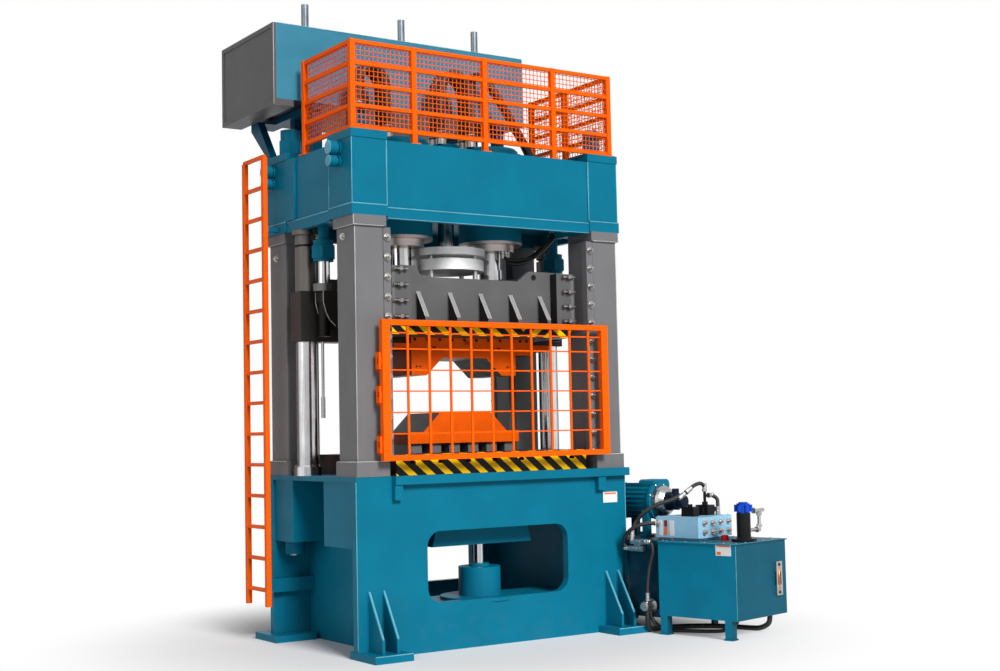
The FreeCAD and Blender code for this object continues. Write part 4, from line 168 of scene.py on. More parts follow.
# %% Values
class Value:
    """A socket of one finish. An operator on it adds the Math node that works it out."""

    def __init__(self, finish, socket):
        self.finish, self.socket = finish, socket

    def math(self, operation, *others):
        """This value joined with others by one Math node."""
        return self.finish.add("Math", {"operation": operation},
                               dict(enumerate((self, *others))))

    def __add__(self, other):
        return self.math("ADD", other)

    def __sub__(self, other):
        return self.math("SUBTRACT", other)

    def __rsub__(self, other):
        return self.finish.add("Math", {"operation": "SUBTRACT"}, {0: other, 1: self})

    def __mul__(self, other):
        return self.math("MULTIPLY", other)

    def __truediv__(self, other):
        return self.math("DIVIDE", other)

    def __gt__(self, other):
        return self.math("GREATER_THAN", other)

    def __lt__(self, other):
        return self.math("LESS_THAN", other)

    def rise(self, low, high):
        """0 below low, 1 above high, and a smooth step between them."""
        return self.finish.add("MapRange", {"interpolation_type": "SMOOTHSTEP"},
                               {"Value": self, "From Min": low, "From Max": high})


# %% [markdown]
# ## One material
# `Finish` is one material with one method, `add`, that adds any node. The other methods name
# what a finish is made of: the place on the object, its faces' directions, noise, a mix of two
# colours and a bump. What is the same all over stays on the shader's own sockets.

# %% Finish
class Finish:
    """One material: its Principled shader, and the method that adds any other node."""

    def __init__(self, name, **constants):
        self.material = bpy.data.materials.new(name)
        self.material.use_nodes = True
        self.tree = self.material.node_tree
        self.shader = self.tree.nodes["Principled BSDF"]
        for socket, value in constants.items():
            self.shader.inputs[socket.replace("_", " ")].default_value = value
        coords = self.tree.nodes.new("ShaderNodeTexCoord")
        self.place = Value(self, coords.outputs["Object"])
        self.faces = Value(self, coords.outputs["Normal"])

    def add(self, kind, settings, sockets, out=0):
        """Adds a node, sets its options and then its sockets, and gives one of its outputs."""
        node = self.tree.nodes.new("ShaderNode" + kind)
        for option, value in settings.items():
            setattr(node, option, value)
        for key, value in sockets.items():
            if isinstance(value, Value):
                self.tree.links.new(value.socket, node.inputs[key])
            else:
                node.inputs[key].default_value = value
        return Value(self, node.outputs[out])

    def parts(self, vector):
        """The x, y and z of a vector."""
        return [self.add("SeparateXYZ", {}, {0: vector}, out) for out in range(3)]

    def stretched(self, x, y, z):
        """The place on the object, scaled along each direction."""
        return self.add("Mapping", {}, {"Vector": self.place, "Scale": (x, y, z)})

    def noise(self, scale, detail, where=None):
        """Cloudy noise from 0 to 1 with about `scale` clouds in a metre."""
        return self.add("TexNoise", {}, {"Vector": where or self.place, "Scale": scale,
                                         "Detail": detail})

    def mix(self, mask, first, second):
        """The first colour where the mask is 0, the second where it is 1."""
        return self.add("Mix", {"data_type": "RGBA"}, {0: mask, 6: first, 7: second}, out=2)

    def bump(self, height, distance, strength):
        """Feeds a height in units of `distance` metres to the shader's normal."""
        self.use("Normal", self.add("Bump", {}, {
            "Height": height, "Distance": distance, "Strength": strength}))

    def use(self, socket, value):
        """Links a value to a socket of the shader."""
        self.tree.links.new(value.socket, self.shader.inputs[socket])

    def fed(self, socket):
        """The value that a socket of the shader is linked to now."""
        return Value(self, self.shader.inputs[socket].links[0].from_socket)


# %% [markdown]
# ## Colours
# Paint charts give red, green and blue from 0 to 255, in steps that suit the eye. A shader adds
# up light, so each colour is turned into light once, and darker shades are shares of that light.

# %% Colours
def rgb(red, green, blue):
    """A colour of a paint chart, 0 to 255, as the linear light that a shader works in."""
    return (*(((c / 255 + 0.055) / 1.055) ** 2.4 if c > 10 else c / 3294
              for c in (red, green, blue)), 1.0)


def scaled(colour, factor):
    """A colour with its red, green and blue light multiplied by a factor."""
    return (*(c * factor for c in colour[:3]), 1)


print("middle grey gives back", round(rgb(128, 128, 128)[0], 3), "of the light")

# %% [markdown]
# ## Paint
# The blue and the orange are sprayed machine paints: half gloss, with a fine orange-peel
# surface, slightly cloudy, duller where hands and dust reach. The grey of the posts is a
# thinner coat over ground steel, so faint upright streaks show. One function makes them all.

# %% Painted finishes
PEEL_PER_M, PEEL_DEEP, PEEL_STRENGTH = 260.0, 0.0004, 0.35
DUST_TOP = 0.9
DUST, SPECK = rgb(112, 108, 98), rgb(34, 34, 34)


def paint(name, colour, dull, cloud=0.10, streak=0.0, grime=0.25):
    """Sprayed paint: colour x (1 +- cloud), streaks along z, and grime fading out upwards."""
    finish = Finish(name, Specular_IOR_Level=0.10)
    cloudy = finish.noise(2.3, 4).rise(0.25, 0.75)
    drawn = finish.noise(1.0, 3, finish.stretched(70, 70, 1.4)).rise(0.3, 0.7)
    body = finish.mix(cloudy, scaled(colour, 1 - 2.2 * cloud), colour)
    if streak:
        pale = (*(min(1, c * (1 + streak) + 0.01) for c in colour[:3]), 1)
        body = finish.mix(drawn * 0.3, body, pale)
    height = finish.parts(finish.place)[2]
    low = (1 - height.rise(0.0, DUST_TOP)) * finish.noise(7, 5).rise(0.42, 0.75) * grime
    specks = finish.noise(38, 3).rise(0.70, 0.78) * (grime * 0.6)
    finish.use("Base Color", finish.mix(specks, finish.mix(low, body, DUST), SPECK))
    finish.use("Roughness", finish.noise(9, 4) * 0.16 + (dull - 0.08) + low * 0.3)
    finish.bump(finish.noise(PEEL_PER_M, 1), PEEL_DEEP, PEEL_STRENGTH)
    return finish


GUARD_ORANGE, TANK_BLUE = rgb(255, 98, 0), rgb(62, 134, 160)
FINISHES = {
    "blue_paint": paint("press_blue", rgb(4, 112, 140), 0.45, cloud=0.05, grime=0.05),
    "tank_blue": paint("tank_blue", TANK_BLUE, 0.42),
    "box_blue": paint("block_blue", rgb(158, 210, 238), 0.42, grime=0.12),
    "orange_paint": paint("guard_orange", GUARD_ORANGE, 0.55, cloud=0.03, grime=0.04),
    "grey_paint": paint("post_grey", rgb(116, 116, 118), 0.42, cloud=0.05, streak=0.02),
    "dark_paint": paint("bench_blue", rgb(8, 58, 78), 0.45),
    # Paler blue and grey for the rims along edges: painted highlights, the light that rounded edges
    # catch.
    "edge_highlight_blue": paint("edge_highlight_blue", rgb(104, 182, 206), 0.32, cloud=0.15, grime=0.1),
    "edge_highlight_grey": paint("edge_highlight_grey", rgb(196, 195, 193), 0.32, cloud=0.15, grime=0.1),
    "black_paint": paint("valve_black", rgb(26, 27, 29), 0.38, cloud=0.12, grime=0.4),
    "blue_plastic": paint("cap_blue", rgb(22, 74, 190), 0.33, cloud=0.05, grime=0.1),
    "red_plastic": paint("cap_red", rgb(196, 24, 22), 0.33, cloud=0.05, grime=0.1),
}
print("paints:", len(FINISHES))

# %% [markdown]
# ## Bare metal and rubber
# Columns and rams are hard chrome: bright, nearly smooth, with rub marks along the stroke and dark
# bands of painted reflection.
# Bolts, discs and fittings are turned steel, with fine rings. The glands are bronze. Hoses are
# black rubber with the print of a woven wrap, and a faint bloom of dust on top.

# %% Metal and rubber finishes
CHROME, BAR_SHADE, STEEL = rgb(228, 228, 230), rgb(58, 57, 56), rgb(196, 195, 192)
DRAWN, RINGS = (160, 160, 2.0), (9, 9, 420)
GRAIN_DEEP = 0.00012
LIT_X, LIT_Y = -0.42, -0.91


def metal(name, colour, dull, along, shade=0.62, painted_reflection=False, metallic=1.0):
    """Bare metal: a grain stretched `along` x, y, z shades, dulls and roughens it.

    A polished upright bar shows the dark room beside it as dark bands. With bands on, the metal
    carries them as a painted reflection in its colour: darker where its face turns away from the
    front left, by a smooth step of |n . d|.
    """
    finish = Finish(name, Metallic=metallic)
    lines = finish.noise(1.0, 3, finish.stretched(*along))
    clouds = finish.noise(5.0, 4)
    worn = (lines * 0.6 + clouds * 0.4).rise(0.3, 0.62)
    body = finish.mix(worn, scaled(colour, shade), colour)
    if painted_reflection:
        # Painted reflection: dark colour bands by face direction stand for the dark room seen in
        # the chrome.
        nx, ny, _ = finish.parts(finish.faces)
        facing = (nx * LIT_X + ny * LIT_Y).math("ABSOLUTE")
        band = facing.rise(0.45, 0.82) - facing.rise(0.93, 0.985) * 0.35
        body = finish.mix(band, BAR_SHADE, body)
    finish.use("Base Color", body)
    finish.use("Roughness", lines * 0.14 + clouds * 0.10 + (dull - 0.12))
    finish.bump(lines, GRAIN_DEEP, 0.5)
    return finish


def rubber(name, colour, weave_per_m, deep):
    """Wrapped rubber: two crossing waves for the cloth print, and a pale bloom on top."""
    finish = Finish(name)
    x, y, z = finish.parts(finish.place)
    turns = 2 * math.pi * weave_per_m
    over, under = (((x + y + z) * turns).math("SINE"), ((x - y + z) * turns).math("SINE"))
    upward = finish.parts(finish.faces)[2].rise(0.2, 1.0)
    bloom = upward * finish.noise(11, 4).rise(0.35, 0.8) * 0.30
    finish.use("Base Color", finish.mix(bloom, colour, rgb(92, 90, 86)))
    finish.use("Roughness", finish.noise(30, 3) * 0.2 + 0.38)
    finish.bump(over * under, deep, 0.6)
    return finish


FINISHES |= {
    "chrome": metal("hard_chrome", CHROME, 0.17, DRAWN, painted_reflection=True),
    "bright_steel": metal("turned_steel", STEEL, 0.34, RINGS),
    "bronze": metal("gland_bronze", rgb(216, 204, 200), 0.42, (12, 12, 300), shade=0.8),
    "black_rubber": rubber("hose_rubber", rgb(22, 22, 24), 120, 0.0006),
}
print("with metal and rubber:", len(FINISHES))

# %% [markdown]
# ## Hazard stripes
# The front edges of the work table and of the slide's plate carry slanting yellow and black
# stripes. A stripe is a sawtooth of x and z, cut near one half. They are painted on the front
# faces only, and the rest of those plates is bare, so the face's own direction is the mask.
# On the slide's plate the slant turns the other way for one stretch near the right end.

# %% Hazard finish
STRIPE_PITCH, SLANT, BLACK_FROM = 0.193, 1.2, 0.47
FAR_AWAY = 9.0


def striped(name, base, shift, turn_from=FAR_AWAY, turn_to=FAR_AWAY):
    """Yellow and black where the face looks to the front; the slant turns between two x."""
    finish = Finish(name, Specular_IOR_Level=0.15)
    x, _, z = finish.parts(finish.place)
    turned_over = (x > turn_from) * (x < turn_to)
    lean = z * SLANT * (1 - turned_over * 2)
    band = ((x + lean + shift) / STRIPE_PITCH).math("FRACT") > BLACK_FROM
    worn = finish.noise(55, 5).rise(0.66, 0.78) * 0.35
    yellow = finish.mix(finish.noise(4, 3) * 0.6, rgb(255, 206, 0), rgb(255, 184, 0))
    black = finish.mix(finish.noise(6, 3) * 0.6, rgb(14, 14, 16), rgb(34, 33, 32))
    stripes = finish.mix(band, yellow, black)
    stripes = finish.mix(worn, stripes, rgb(70, 64, 52))
    plain = finish.mix(finish.noise(3, 4).rise(0.3, 0.7), base, scaled(base, 0.8))
    front = finish.parts(finish.faces)[1] < -0.6
    finish.use("Base Color", finish.mix(front, plain, stripes))
    finish.use("Roughness", finish.noise(12, 4) * 0.2 + 0.32)
    finish.bump(finish.noise(PEEL_PER_M, 1), PEEL_DEEP, PEEL_STRENGTH)
    return finish


table_stripes = striped("table_stripes", rgb(84, 62, 56), -0.005)
slide_stripes = striped("slide_stripes", rgb(92, 88, 86), 0.070, 0.46, 0.78)
print("a stripe every", STRIPE_PITCH, "m")

# %% [markdown]
# ## Two-tone parts
# Some pieces are painted on a few faces only, or change along their length. Each could be cut
# in two, but one piece with a mask is simpler: `split` takes a function that works the mask out
# from the face's direction or from the place, and gives two paints in one material.

# %% Two paints and their masks
TOWARDS, SQUARE_ON = 0.6, 0.8


def split(name, first, second, dull, mask):
    """Paint of two colours: the second where `mask`, worked out from the finish, is 1."""
    finish = Finish(name, Specular_IOR_Level=0.12)
    clouds = finish.noise(3.1, 4).rise(0.25, 0.75)
    tones = [finish.mix(clouds, scaled(colour, 0.84), colour) for colour in (first, second)]
    finish.use("Base Color", finish.mix(mask(finish), *tones))
    finish.use("Roughness", finish.noise(12, 4) * 0.2 + (dull - 0.1))
    finish.bump(finish.noise(PEEL_PER_M, 1), PEEL_DEEP, PEEL_STRENGTH)
    return finish


def looks_along_y(finish):
    """1 where a face looks to the front or to the back."""
    return finish.parts(finish.faces)[1].math("ABSOLUTE") > SQUARE_ON


def looks_left(finish):
    """1 where a face looks to the left."""
    return finish.parts(finish.faces)[0] < -TOWARDS


def looks_down(finish):
    """1 where a face looks to the floor."""
    return finish.parts(finish.faces)[2] < -TOWARDS


def outside(half):
    """A mask that is 1 farther from the middle than `half` along x."""
    return lambda finish: finish.parts(finish.place)[0].math("ABSOLUTE") > half


def right_of(edge):
    """A mask that is 1 where x is more than `edge`."""
    return lambda finish: finish.parts(finish.place)[0] > edge


def above(level):
    """A mask that is 1 higher up than `level`."""
    return lambda finish: finish.parts(finish.place)[2] > level


def below(level):
    """A mask that is 1 lower down than `level`."""
    return lambda finish: finish.parts(finish.place)[2] < level


# %% [markdown]
# ## Dies, columns, barrels and slide
# The dies are orange on their front and back faces and bare dark steel on the slopes that
# press the sheet; their ends carry painted shade, a red-brown. The guide columns are bright where
# the slide runs and grey above that. The return barrels have a plain flange and a dark tail. The
# slide's ribs carry painted shade on their sides and a painted highlight on their slopes.

# %% Dies, columns, barrels and slide
ORANGE, SHADED_ORANGE, DARK = rgb(255, 100, 0), rgb(120, 44, 20), rgb(50, 50, 50)
END_ON = 0.95
COLUMN_BRIGHT_TOP, ROD_FLANGE_TOP, ROD_TAIL_TOP = 3.30, 3.400, 3.325
SLIDE_ARMS, SLIDE_RIBS = 1.05, 0.643


def die(name):
    """Orange front and back, red-brown painted shade at the ends, dark steel where it presses."""
    finish = split(name, DARK, ORANGE, 0.44, looks_along_y)
    # Painted shade: the ends, faces looking along x, take a red-brown that stands for orange in
    # shadow.
    across = finish.parts(finish.faces)[0].math("ABSOLUTE") > END_ON
    finish.use("Base Color", finish.mix(across, finish.fed("Base Color"), SHADED_ORANGE))
    return finish


def dull_part(name, colour, mask):
    """Chrome with painted reflection bands, and painted or plain steel of one colour where the mask
    is 1.
    """
    finish = metal(name, CHROME, 0.17, DRAWN, painted_reflection=True)
    dull = mask(finish)
    finish.use("Base Color", finish.mix(dull, finish.fed("Base Color"), colour))
    finish.use("Roughness", finish.fed("Roughness") + dull * 0.3)
    return finish


def rod_finish(name):
    """Chrome barrels with a plain steel flange and a dark tail in the slide's arms."""
    finish = dull_part(name, rgb(104, 102, 100), below(ROD_FLANGE_TOP))
    tail = below(ROD_TAIL_TOP)(finish)
    finish.use("Base Color", finish.mix(tail, finish.fed("Base Color"), rgb(34, 33, 32)))
    return finish


def slide_finish(name):
    """Grey, darker on the side arms; the ribs' sides carry painted shade and their slope a paler
    painted highlight.
    """
    finish = split(name, rgb(100, 100, 101), rgb(44, 42, 40), 0.44, outside(SLIDE_ARMS))
    nx, _, nz = finish.parts(finish.faces)
    rib = finish.parts(finish.place)[1].math("ABSOLUTE") > SLIDE_RIBS
    # Painted shade on the ribs' upright sides, and a painted highlight on their slope, which tilts
    # up to the light.
    sides = rib * (nx.math("ABSOLUTE") > 0.9)
    body = finish.mix(sides, finish.fed("Base Color"), rgb(40, 39, 39))
    slope = rib * (nz > 0.4) * (nz < 0.7)
    finish.use("Base Color", finish.mix(slope, body, rgb(150, 149, 148)))
    return finish


# %% [markdown]
# ## Pieces with a finish of their own
# Most solids take the finish of their material. These have one of their own: a darker or a
# worn coat, one of the two-tone paints, or painted light and shade: the power unit's tank is
# painted lighter on its left faces and darker on the rest, and the prefill tank carries painted
# shade underneath. The ladder is orange up to its blue wall brackets.

# %% Finishes of single pieces
LADDER_BRACKETS = -1.626
SPECIAL = {
    "lower_die": die("die_paint"),
    "upper_die": die("arch_paint"),
    "die_plate": slide_stripes,
    "guide_columns": dull_part("guide_chrome", rgb(96, 92, 88), above(COLUMN_BRIGHT_TOP)),
    "return_rods": rod_finish("return_chrome"),
    # Painted light and shade: the unit tank's left faces take a lit blue, its other faces a shaded
    # blue.
    "unit_tank": split("unit_blue_light_and_shade", rgb(2, 84, 106), rgb(8, 126, 158), 0.45, looks_left),
    # Painted shade: the prefill tank's faces that look down are painted a dark blue for the shadow
    # under it.
    "top_tank": split("top_tank_blue_shaded_under", TANK_BLUE, rgb(6, 34, 50), 0.42, looks_down),
    "tank_struts": paint("strut_blue", rgb(2, 76, 104), 0.42, cloud=0.05, grime=0.1),
    "tank_end_cap": paint("tank_end", rgb(92, 92, 93), 0.42, cloud=0.05, grime=0.1),
    "ram_discs": metal("disc_steel", rgb(250, 250, 250), 0.5, (9, 9, 300), shade=0.85,
                       metallic=0.5),
    "ladder": split("ladder_paint", GUARD_ORANGE, rgb(4, 100, 126), 0.5,
                    right_of(LADDER_BRACKETS)),
    "rail_bolts": metal("dark_bolts", rgb(168, 166, 163), 0.36, RINGS),
    "shoe_bolts": metal("set_bolts", rgb(150, 148, 146), 0.38, RINGS),
    "slide": slide_finish("slide_paint"),
    "bell_housing": metal("bell_metal", rgb(172, 174, 174), 0.3, (60, 60, 60)),
    "vent_pipes": metal("vent_steel", rgb(120, 130, 136), 0.4, (40, 40, 6)),
    "pump": paint("pump_black", rgb(16, 34, 52), 0.38, cloud=0.1, grime=0.3),
}
print("pieces with their own finish:", len(SPECIAL))

# %% [markdown]
# ## Finishes of the solids
# Each CAD solid takes its own finish, or else that of its material. The two floor hoses were
# made here, so their material is added to them.

# %% Put the finishes on the solids
for row in frame["record"]["subparts"]:
    finish = SPECIAL.get(row["node"], FINISHES.get(row["material_slot"], table_stripes))
    for slot in frame["nodes"][row["node"]].material_slots:
        slot.material = finish.material
for name in ("hose_thick", "hose_thin"):
    bpy.data.objects[name].data.materials.append(FINISHES["black_rubber"].material)

# %% [markdown]
# ## Making pieces from arrays
# New ironwork is made as whole arrays: a profile is carried along a path, and the grid of
# points becomes a mesh in one call. `solid` closes and places it, and says what it rides on.

# %% Mesh helpers
def solid(name, points, faces, body, slot, finish, smooth=False):
    """A mesh from arrays of points and faces, riding on a body, with its finish; the slot is not
    used.
    """
    mesh = bpy.data.meshes.new(name)
    mesh.from_pydata(np.asarray(points).reshape(-1, 3).tolist(), [], faces)
    mesh.validate()
    mesh.polygons.foreach_set("use_smooth", np.full(len(mesh.polygons), smooth))
    mesh.materials.append(finish.material)
    piece = bpy.data.objects.new(name, mesh)
    bpy.context.scene.collection.objects.link(piece)
    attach(piece, body)
    return piece


def tube_faces(rings, sides):
    """Quads between neighbouring rings of points, and one flat face on each end."""
    ring, side = np.meshgrid(np.arange(rings - 1), np.arange(sides), indexing="ij")
    here, there = ring * sides + side, ring * sides + (side + 1) % sides
    quads = np.stack([here, there, there + sides, here + sides], -1).reshape(-1, 4)
    near = np.arange(sides)[::-1]
    far = np.arange(sides) + (rings - 1) * sides
    return quads.tolist() + [near.tolist(), far.tolist()]


def wires(lines, radius, sides=6):
    """Round wires along many lines at once: each ring is centre + radius x (cos a, sin a)."""
    lines = np.asarray(lines, float)
    ahead = np.gradient(lines, axis=1)
    ahead /= np.linalg.norm(ahead, axis=-1, keepdims=True)
    pick = np.where(np.abs(ahead[..., 2:]) > 0.7, (1.0, 0, 0), (0, 0, 1.0))
    across = np.cross(ahead, pick)
    across /= np.linalg.norm(across, axis=-1, keepdims=True)
    upward = np.cross(ahead, across)
    turn = np.arange(sides) * 2 * math.pi / sides
    ring = (across[..., None, :] * np.cos(turn)[:, None]
            - upward[..., None, :] * np.sin(turn)[:, None]) * radius
    return lines[..., None, :] + ring


# %% [markdown]
# ## The wire net of the platform guard
# The guard's panels are crimped wire net, wires crossing every 45 mm and bowing over and under
# each other. A wire is a line with a small cosine wave across the net, so upright and level
# wires pass on opposite sides of the net's middle.

# %% Wire net
MESH_PITCH, WIRE_R, NET_ROOM, LEFT_END = 0.045, 0.0040, 0.008, 0.111
net_low, net_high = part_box("fence_mesh")
GUARD_X, GUARD_Y = net_high.x + NET_ROOM, NET_ROOM - net_low.y


def net_panel(start, end, low, high):
    """Wires over a rectangle: along each wire, offset = r cos(pi n) at the nth crossing."""
    start, end = np.array(start, float), np.array(end, float)
    along = end - start
    length = float(np.linalg.norm(along))
    along /= length
    outward = np.array((along[1], -along[0], 0.0))
    columns, rows = round(length / MESH_PITCH), round((high - low) / MESH_PITCH)
    across = np.linspace(0, length, columns + 1)
    level = np.linspace(low, high, rows + 1)
    wave = WIRE_R * np.cos(math.pi * (np.arange(columns + 1)[:, None]
                                      + np.arange(rows + 1)[None, :]))
    grid = (start + across[:, None, None] * along
            + level[None, :, None] * np.array((0, 0, 1.0)))
    return grid + wave[..., None] * outward, (grid - wave[..., None] * outward).swapaxes(0, 1)


parts, faces, count = [], [], 0
near_left, near_right = (-GUARD_X, -GUARD_Y, 0), (GUARD_X, -GUARD_Y, 0)
for start, end in ((near_left, near_right), ((-GUARD_X, LEFT_END, 0), near_left),
                   (near_right, (GUARD_X, net_high.y, 0))):
    for lines in net_panel(start, end, net_low.z, net_high.z):
        rings = wires(lines[1:-1], WIRE_R)
        parts.append(rings.reshape(-1, 3))
        for tube in range(rings.shape[0]):
            first = count + tube * rings.shape[1] * rings.shape[2]
            faces += [[first + i for i in face] for face in tube_faces(*rings.shape[1:3])]
        count += parts[-1].shape[0]
net = solid("wire_net", np.concatenate(parts), faces, "frame", "orange_paint",
            paint("net_orange", rgb(255, 104, 0), 0.7, cloud=0.03, grime=0.04), smooth=True)
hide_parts("fence_mesh")
print("net wires:", count, "points")

# %% [markdown]
# ## Small ironwork
# Bolts, collars, plates and weld beads are all stacks of rings: an outline is repeated along a
# direction while it grows or shrinks. One function stacks them, one turns a profile about a
# line, and one makes a plate with round corners and a rounded rim.

# %% Rings, turned pieces and plates
def joined(stacks):
    """One list of points and faces from several stacks of rings."""
    points, faces, count = [], [], 0
    for stack in stacks:
        rings, sides = stack.shape[:2]
        faces += [[count + i for i in face] for face in tube_faces(rings, sides)]
        points.append(stack.reshape(-1, 3))
        count += rings * sides
    return np.concatenate(points), faces


def square_to(along):
    """`along` with length 1, and two directions that stand square to it and to each other."""
    along = np.asarray(along, float) / np.linalg.norm(along)
    pick = (1.0, 0, 0) if abs(along[2]) > 0.7 else (0, 0, 1.0)
    across = np.cross(along, pick)
    across /= np.linalg.norm(across)
    return along, across, np.cross(along, across)


def turned(profile, foot, along, sides=16):
    """A profile of (radius, height) turned about a line: foot + h along + r (cos a, sin a)."""
    along, across, upward = square_to(along)
    turn = np.arange(sides) * 2 * math.pi / sides
    circle = across * np.cos(turn)[:, None] + upward * np.sin(turn)[:, None]
    profile = np.asarray(profile, float)
    return (np.asarray(foot, float) + profile[:, 1, None, None] * along
            + profile[:, 0, None, None] * circle)


def plate(centre, right, up, wide, high, thick, corner):
    """A plate whose outline is four quarter circles with straight sides between them."""
    right, up = (np.asarray(v, float) / np.linalg.norm(v) for v in (right, up))
    out = np.cross(right, up)
    turn = np.radians(np.arange(0, 360, 22.5) + 11.25)
    at = np.stack([np.cos(turn) * corner + np.sign(np.cos(turn)) * (wide / 2 - corner),
                   np.sin(turn) * corner + np.sign(np.sin(turn)) * (high / 2 - corner)], -1)
    rings = []
    for depth, shrink in ((0, 1), (thick * 0.7, 1), (thick, 1 - 2 * thick / min(wide, high))):
        rings.append(np.asarray(centre, float) + depth * out
                     + (at[:, :1] * right + at[:, 1:] * up) * shrink)
    return np.array(rings)


BEAD_STEP = 0.009


def bead(start, end, radius):
    """A weld bead: a wire whose radius swells as r (1 + 0.25 cos(2 pi s / step))."""
    start, end = np.asarray(start, float), np.asarray(end, float)
    length = float(np.linalg.norm(end - start))
    along = np.linspace(0, length, max(3, round(length / BEAD_STEP * 2)))
    swell = radius * (1 + 0.25 * np.cos(2 * math.pi * along / BEAD_STEP))
    swell[[0, -1]] = radius * 0.2
    return turned(np.stack([swell, along], -1), start, end - start, 6)


# %% [markdown]
# ## Bolt heads, and directions of the power unit
# A hexagon head is a short stack of rings with six sides, a little smaller at its top and
# bottom, where real heads have a chamfer. The power unit's own directions are turned by 13
# degrees, and everything that sits on it is written in them.

# %% Bolt heads
HEX_HEAD = [(0.86, 0), (1, 0.08), (1, 0.62), (0.86, 0.72)]
LEFT, UP, DOWN, NEAR = (-1, 0, 0), (0, 0, 1), (0, 0, -1), (0, -1, 0)


def bolts(places, along, radius, high):
    """Hexagon heads with softened edges, all looking one way."""
    return [turned([(r * radius, h * high) for r, h in HEX_HEAD], place, along, 6)
            for place in places]


def unit_dir(u, v, z):
    """A direction of the power unit, turned by 13 degrees."""
    return unit_place((u, v, z)) - unit_place((0, 0, 0))


# %% [markdown]
# ## Collars and clamps on the hoses
# A pressure hose ends in a steel ferrule with crimp grooves and a hexagon nut. A fill hose is
# pushed over its stub and held by two worm clamps. The ends are those of the hoses' routes.

# %% Hose ends
FERRULE = [(0.019, 0), (0.026, 0.002), (0.026, 0.024), (0.021, 0.026), (0.0225, 0.034),
           (0.021, 0.042), (0.0235, 0.046), (0.0235, 0.060), (0.0215, 0.062), (0.0235, 0.064),
           (0.0235, 0.078), (0.0195, 0.082)]
hose_ends = [((0.620, 0.762, 1.338), (0, 0, 1)), ((0.680, 0.762, 1.298), (1, 0, 0)),
             ((0.722, 0.680, 1.108), (0, 0, 1)), ((0.200, 1.020, 1.048), (-1, 0, 0)),
             ((0.012, 1.206, 0.917), (0, 0, 1)), ((0.012, 1.066, 0.873), (0, -1, 0)),
             ((-0.008, 1.022, 0.308), (0, 0, 1)), ((0.012, 1.226, 0.805), (0, 1, 0)),
             ((0.365, 0.804, 1.338), (0.46, -0.12, 0.30)),
             ((0.345, 0.809, 1.326), (-0.46, 0.12, -0.30))]
ferrules = [turned(FERRULE, unit_place(foot), unit_dir(*along)) for foot, along in hose_ends]
solid("hose_ferrules", *joined(ferrules), "frame", "bright_steel", FINISHES["bright_steel"])

DROOP = [(r * 0.86, h * 0.9) for r, h in FERRULE]
crown_end, gland_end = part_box("return_cylinders")[1].z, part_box("cylinder_glands")[0].z
droop_ends = [(x, y, crown_end) for x, y in ((1.110, -0.300), (1.085, -0.352), (1.140, -0.352))]
droop_ends += [(x, y, gland_end) for x, y in ((0.640, -0.190), (0.595, -0.222), (0.545, -0.236))]
drooping = [turned(DROOP, foot, DOWN) for foot in droop_ends]
solid("droop_ferrules", *joined(drooping), "frame", "bright_steel", FINISHES["bright_steel"])

CLAMP = [(0.0445, 0), (0.0485, 0.001), (0.0485, 0.012), (0.0445, 0.013)]
CLAMP_LIFTS, SCREW_OUT, SCREW_UP = (0.018, 0.050), 0.048, 0.0065
LOW_STUB, STUB_ROWS = 4.705, (-0.116, 0.036)
stub_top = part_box("hose_stubs")[1].z
clamps = []
for x, z in ((-1.010, LOW_STUB), (-0.690, stub_top), (-0.082, stub_top), (0.268, stub_top)):
    for y in STUB_ROWS:
        for lift in CLAMP_LIFTS:
            clamps.append(turned(CLAMP, (x, y, z + lift), UP, 28))
            clamps.append(plate((x, y - SCREW_OUT, z + lift + SCREW_UP), (1, 0, 0), UP,
                                0.030, 0.014, 0.010, 0.003))
solid("hose_clamps", *joined(clamps), "frame", "bright_steel", FINISHES["bright_steel"])
print("ferrules:", len(ferrules) + len(drooping), "clamps:", len(clamps) // 2)

# %% [markdown]
# ## Bare plates of the power unit
# The plates that carry ratings on a real unit are left bare: white, orange and red fields.
# A thin plate with round corners stands a little off the metal, as a riveted one does.

# %% Bare plates
FINISHES |= {
    "plate_white": paint("plate_white", rgb(232, 234, 234), 0.4, cloud=0.02, grime=0.05),
    "plate_orange": paint("plate_orange", rgb(236, 120, 52), 0.4, cloud=0.02, grime=0.05),
    "plate_red": paint("plate_red", rgb(150, 36, 40), 0.4, cloud=0.02, grime=0.05),
    "copper": metal("copper", rgb(214, 120, 62), 0.3, (40, 40, 300)),
    "dark_steel": metal("dark_steel", rgb(58, 56, 54), 0.4, (20, 20, 200)),
}
TANK_PLATE_V, TANK_PLATE_Z = 0.136, 0.829
BLOCK_LEFT, BAND_V = 0.200, 0.937


def unit_plate(u, v, z, wide, high, thick=0.002, corner=0.006):
    """A plate on the power unit that looks to its left."""
    return plate(unit_place((u, v, z)), unit_dir(*NEAR), UP, wide, high, thick, corner)


for name, finish, plates in (
        ("plates_white", "plate_white", [
            unit_plate(0, TANK_PLATE_V, TANK_PLATE_Z, 0.172, 0.104),
            unit_plate(BLOCK_LEFT, 0.998, 1.000, 0.040, 0.150),
            unit_plate(BLOCK_LEFT, 0.864, 1.000, 0.056, 0.150)]),
        ("plates_orange", "plate_orange", [
            unit_plate(-0.002, TANK_PLATE_V, 0.868, 0.150, 0.014, 0.001, 0.002),
            unit_plate(-0.002, 0.185, 0.800, 0.046, 0.030, 0.001, 0.002),
            unit_plate(BLOCK_LEFT, BAND_V, 0.970, 0.038, 0.078)]),
        ("plates_red", "plate_red", [
            unit_plate(BLOCK_LEFT, BAND_V, 1.044, 0.038, 0.064)])):
    solid(name, *joined(plates), "frame", "bright_steel", FINISHES[finish])
    print(name, len(plates))

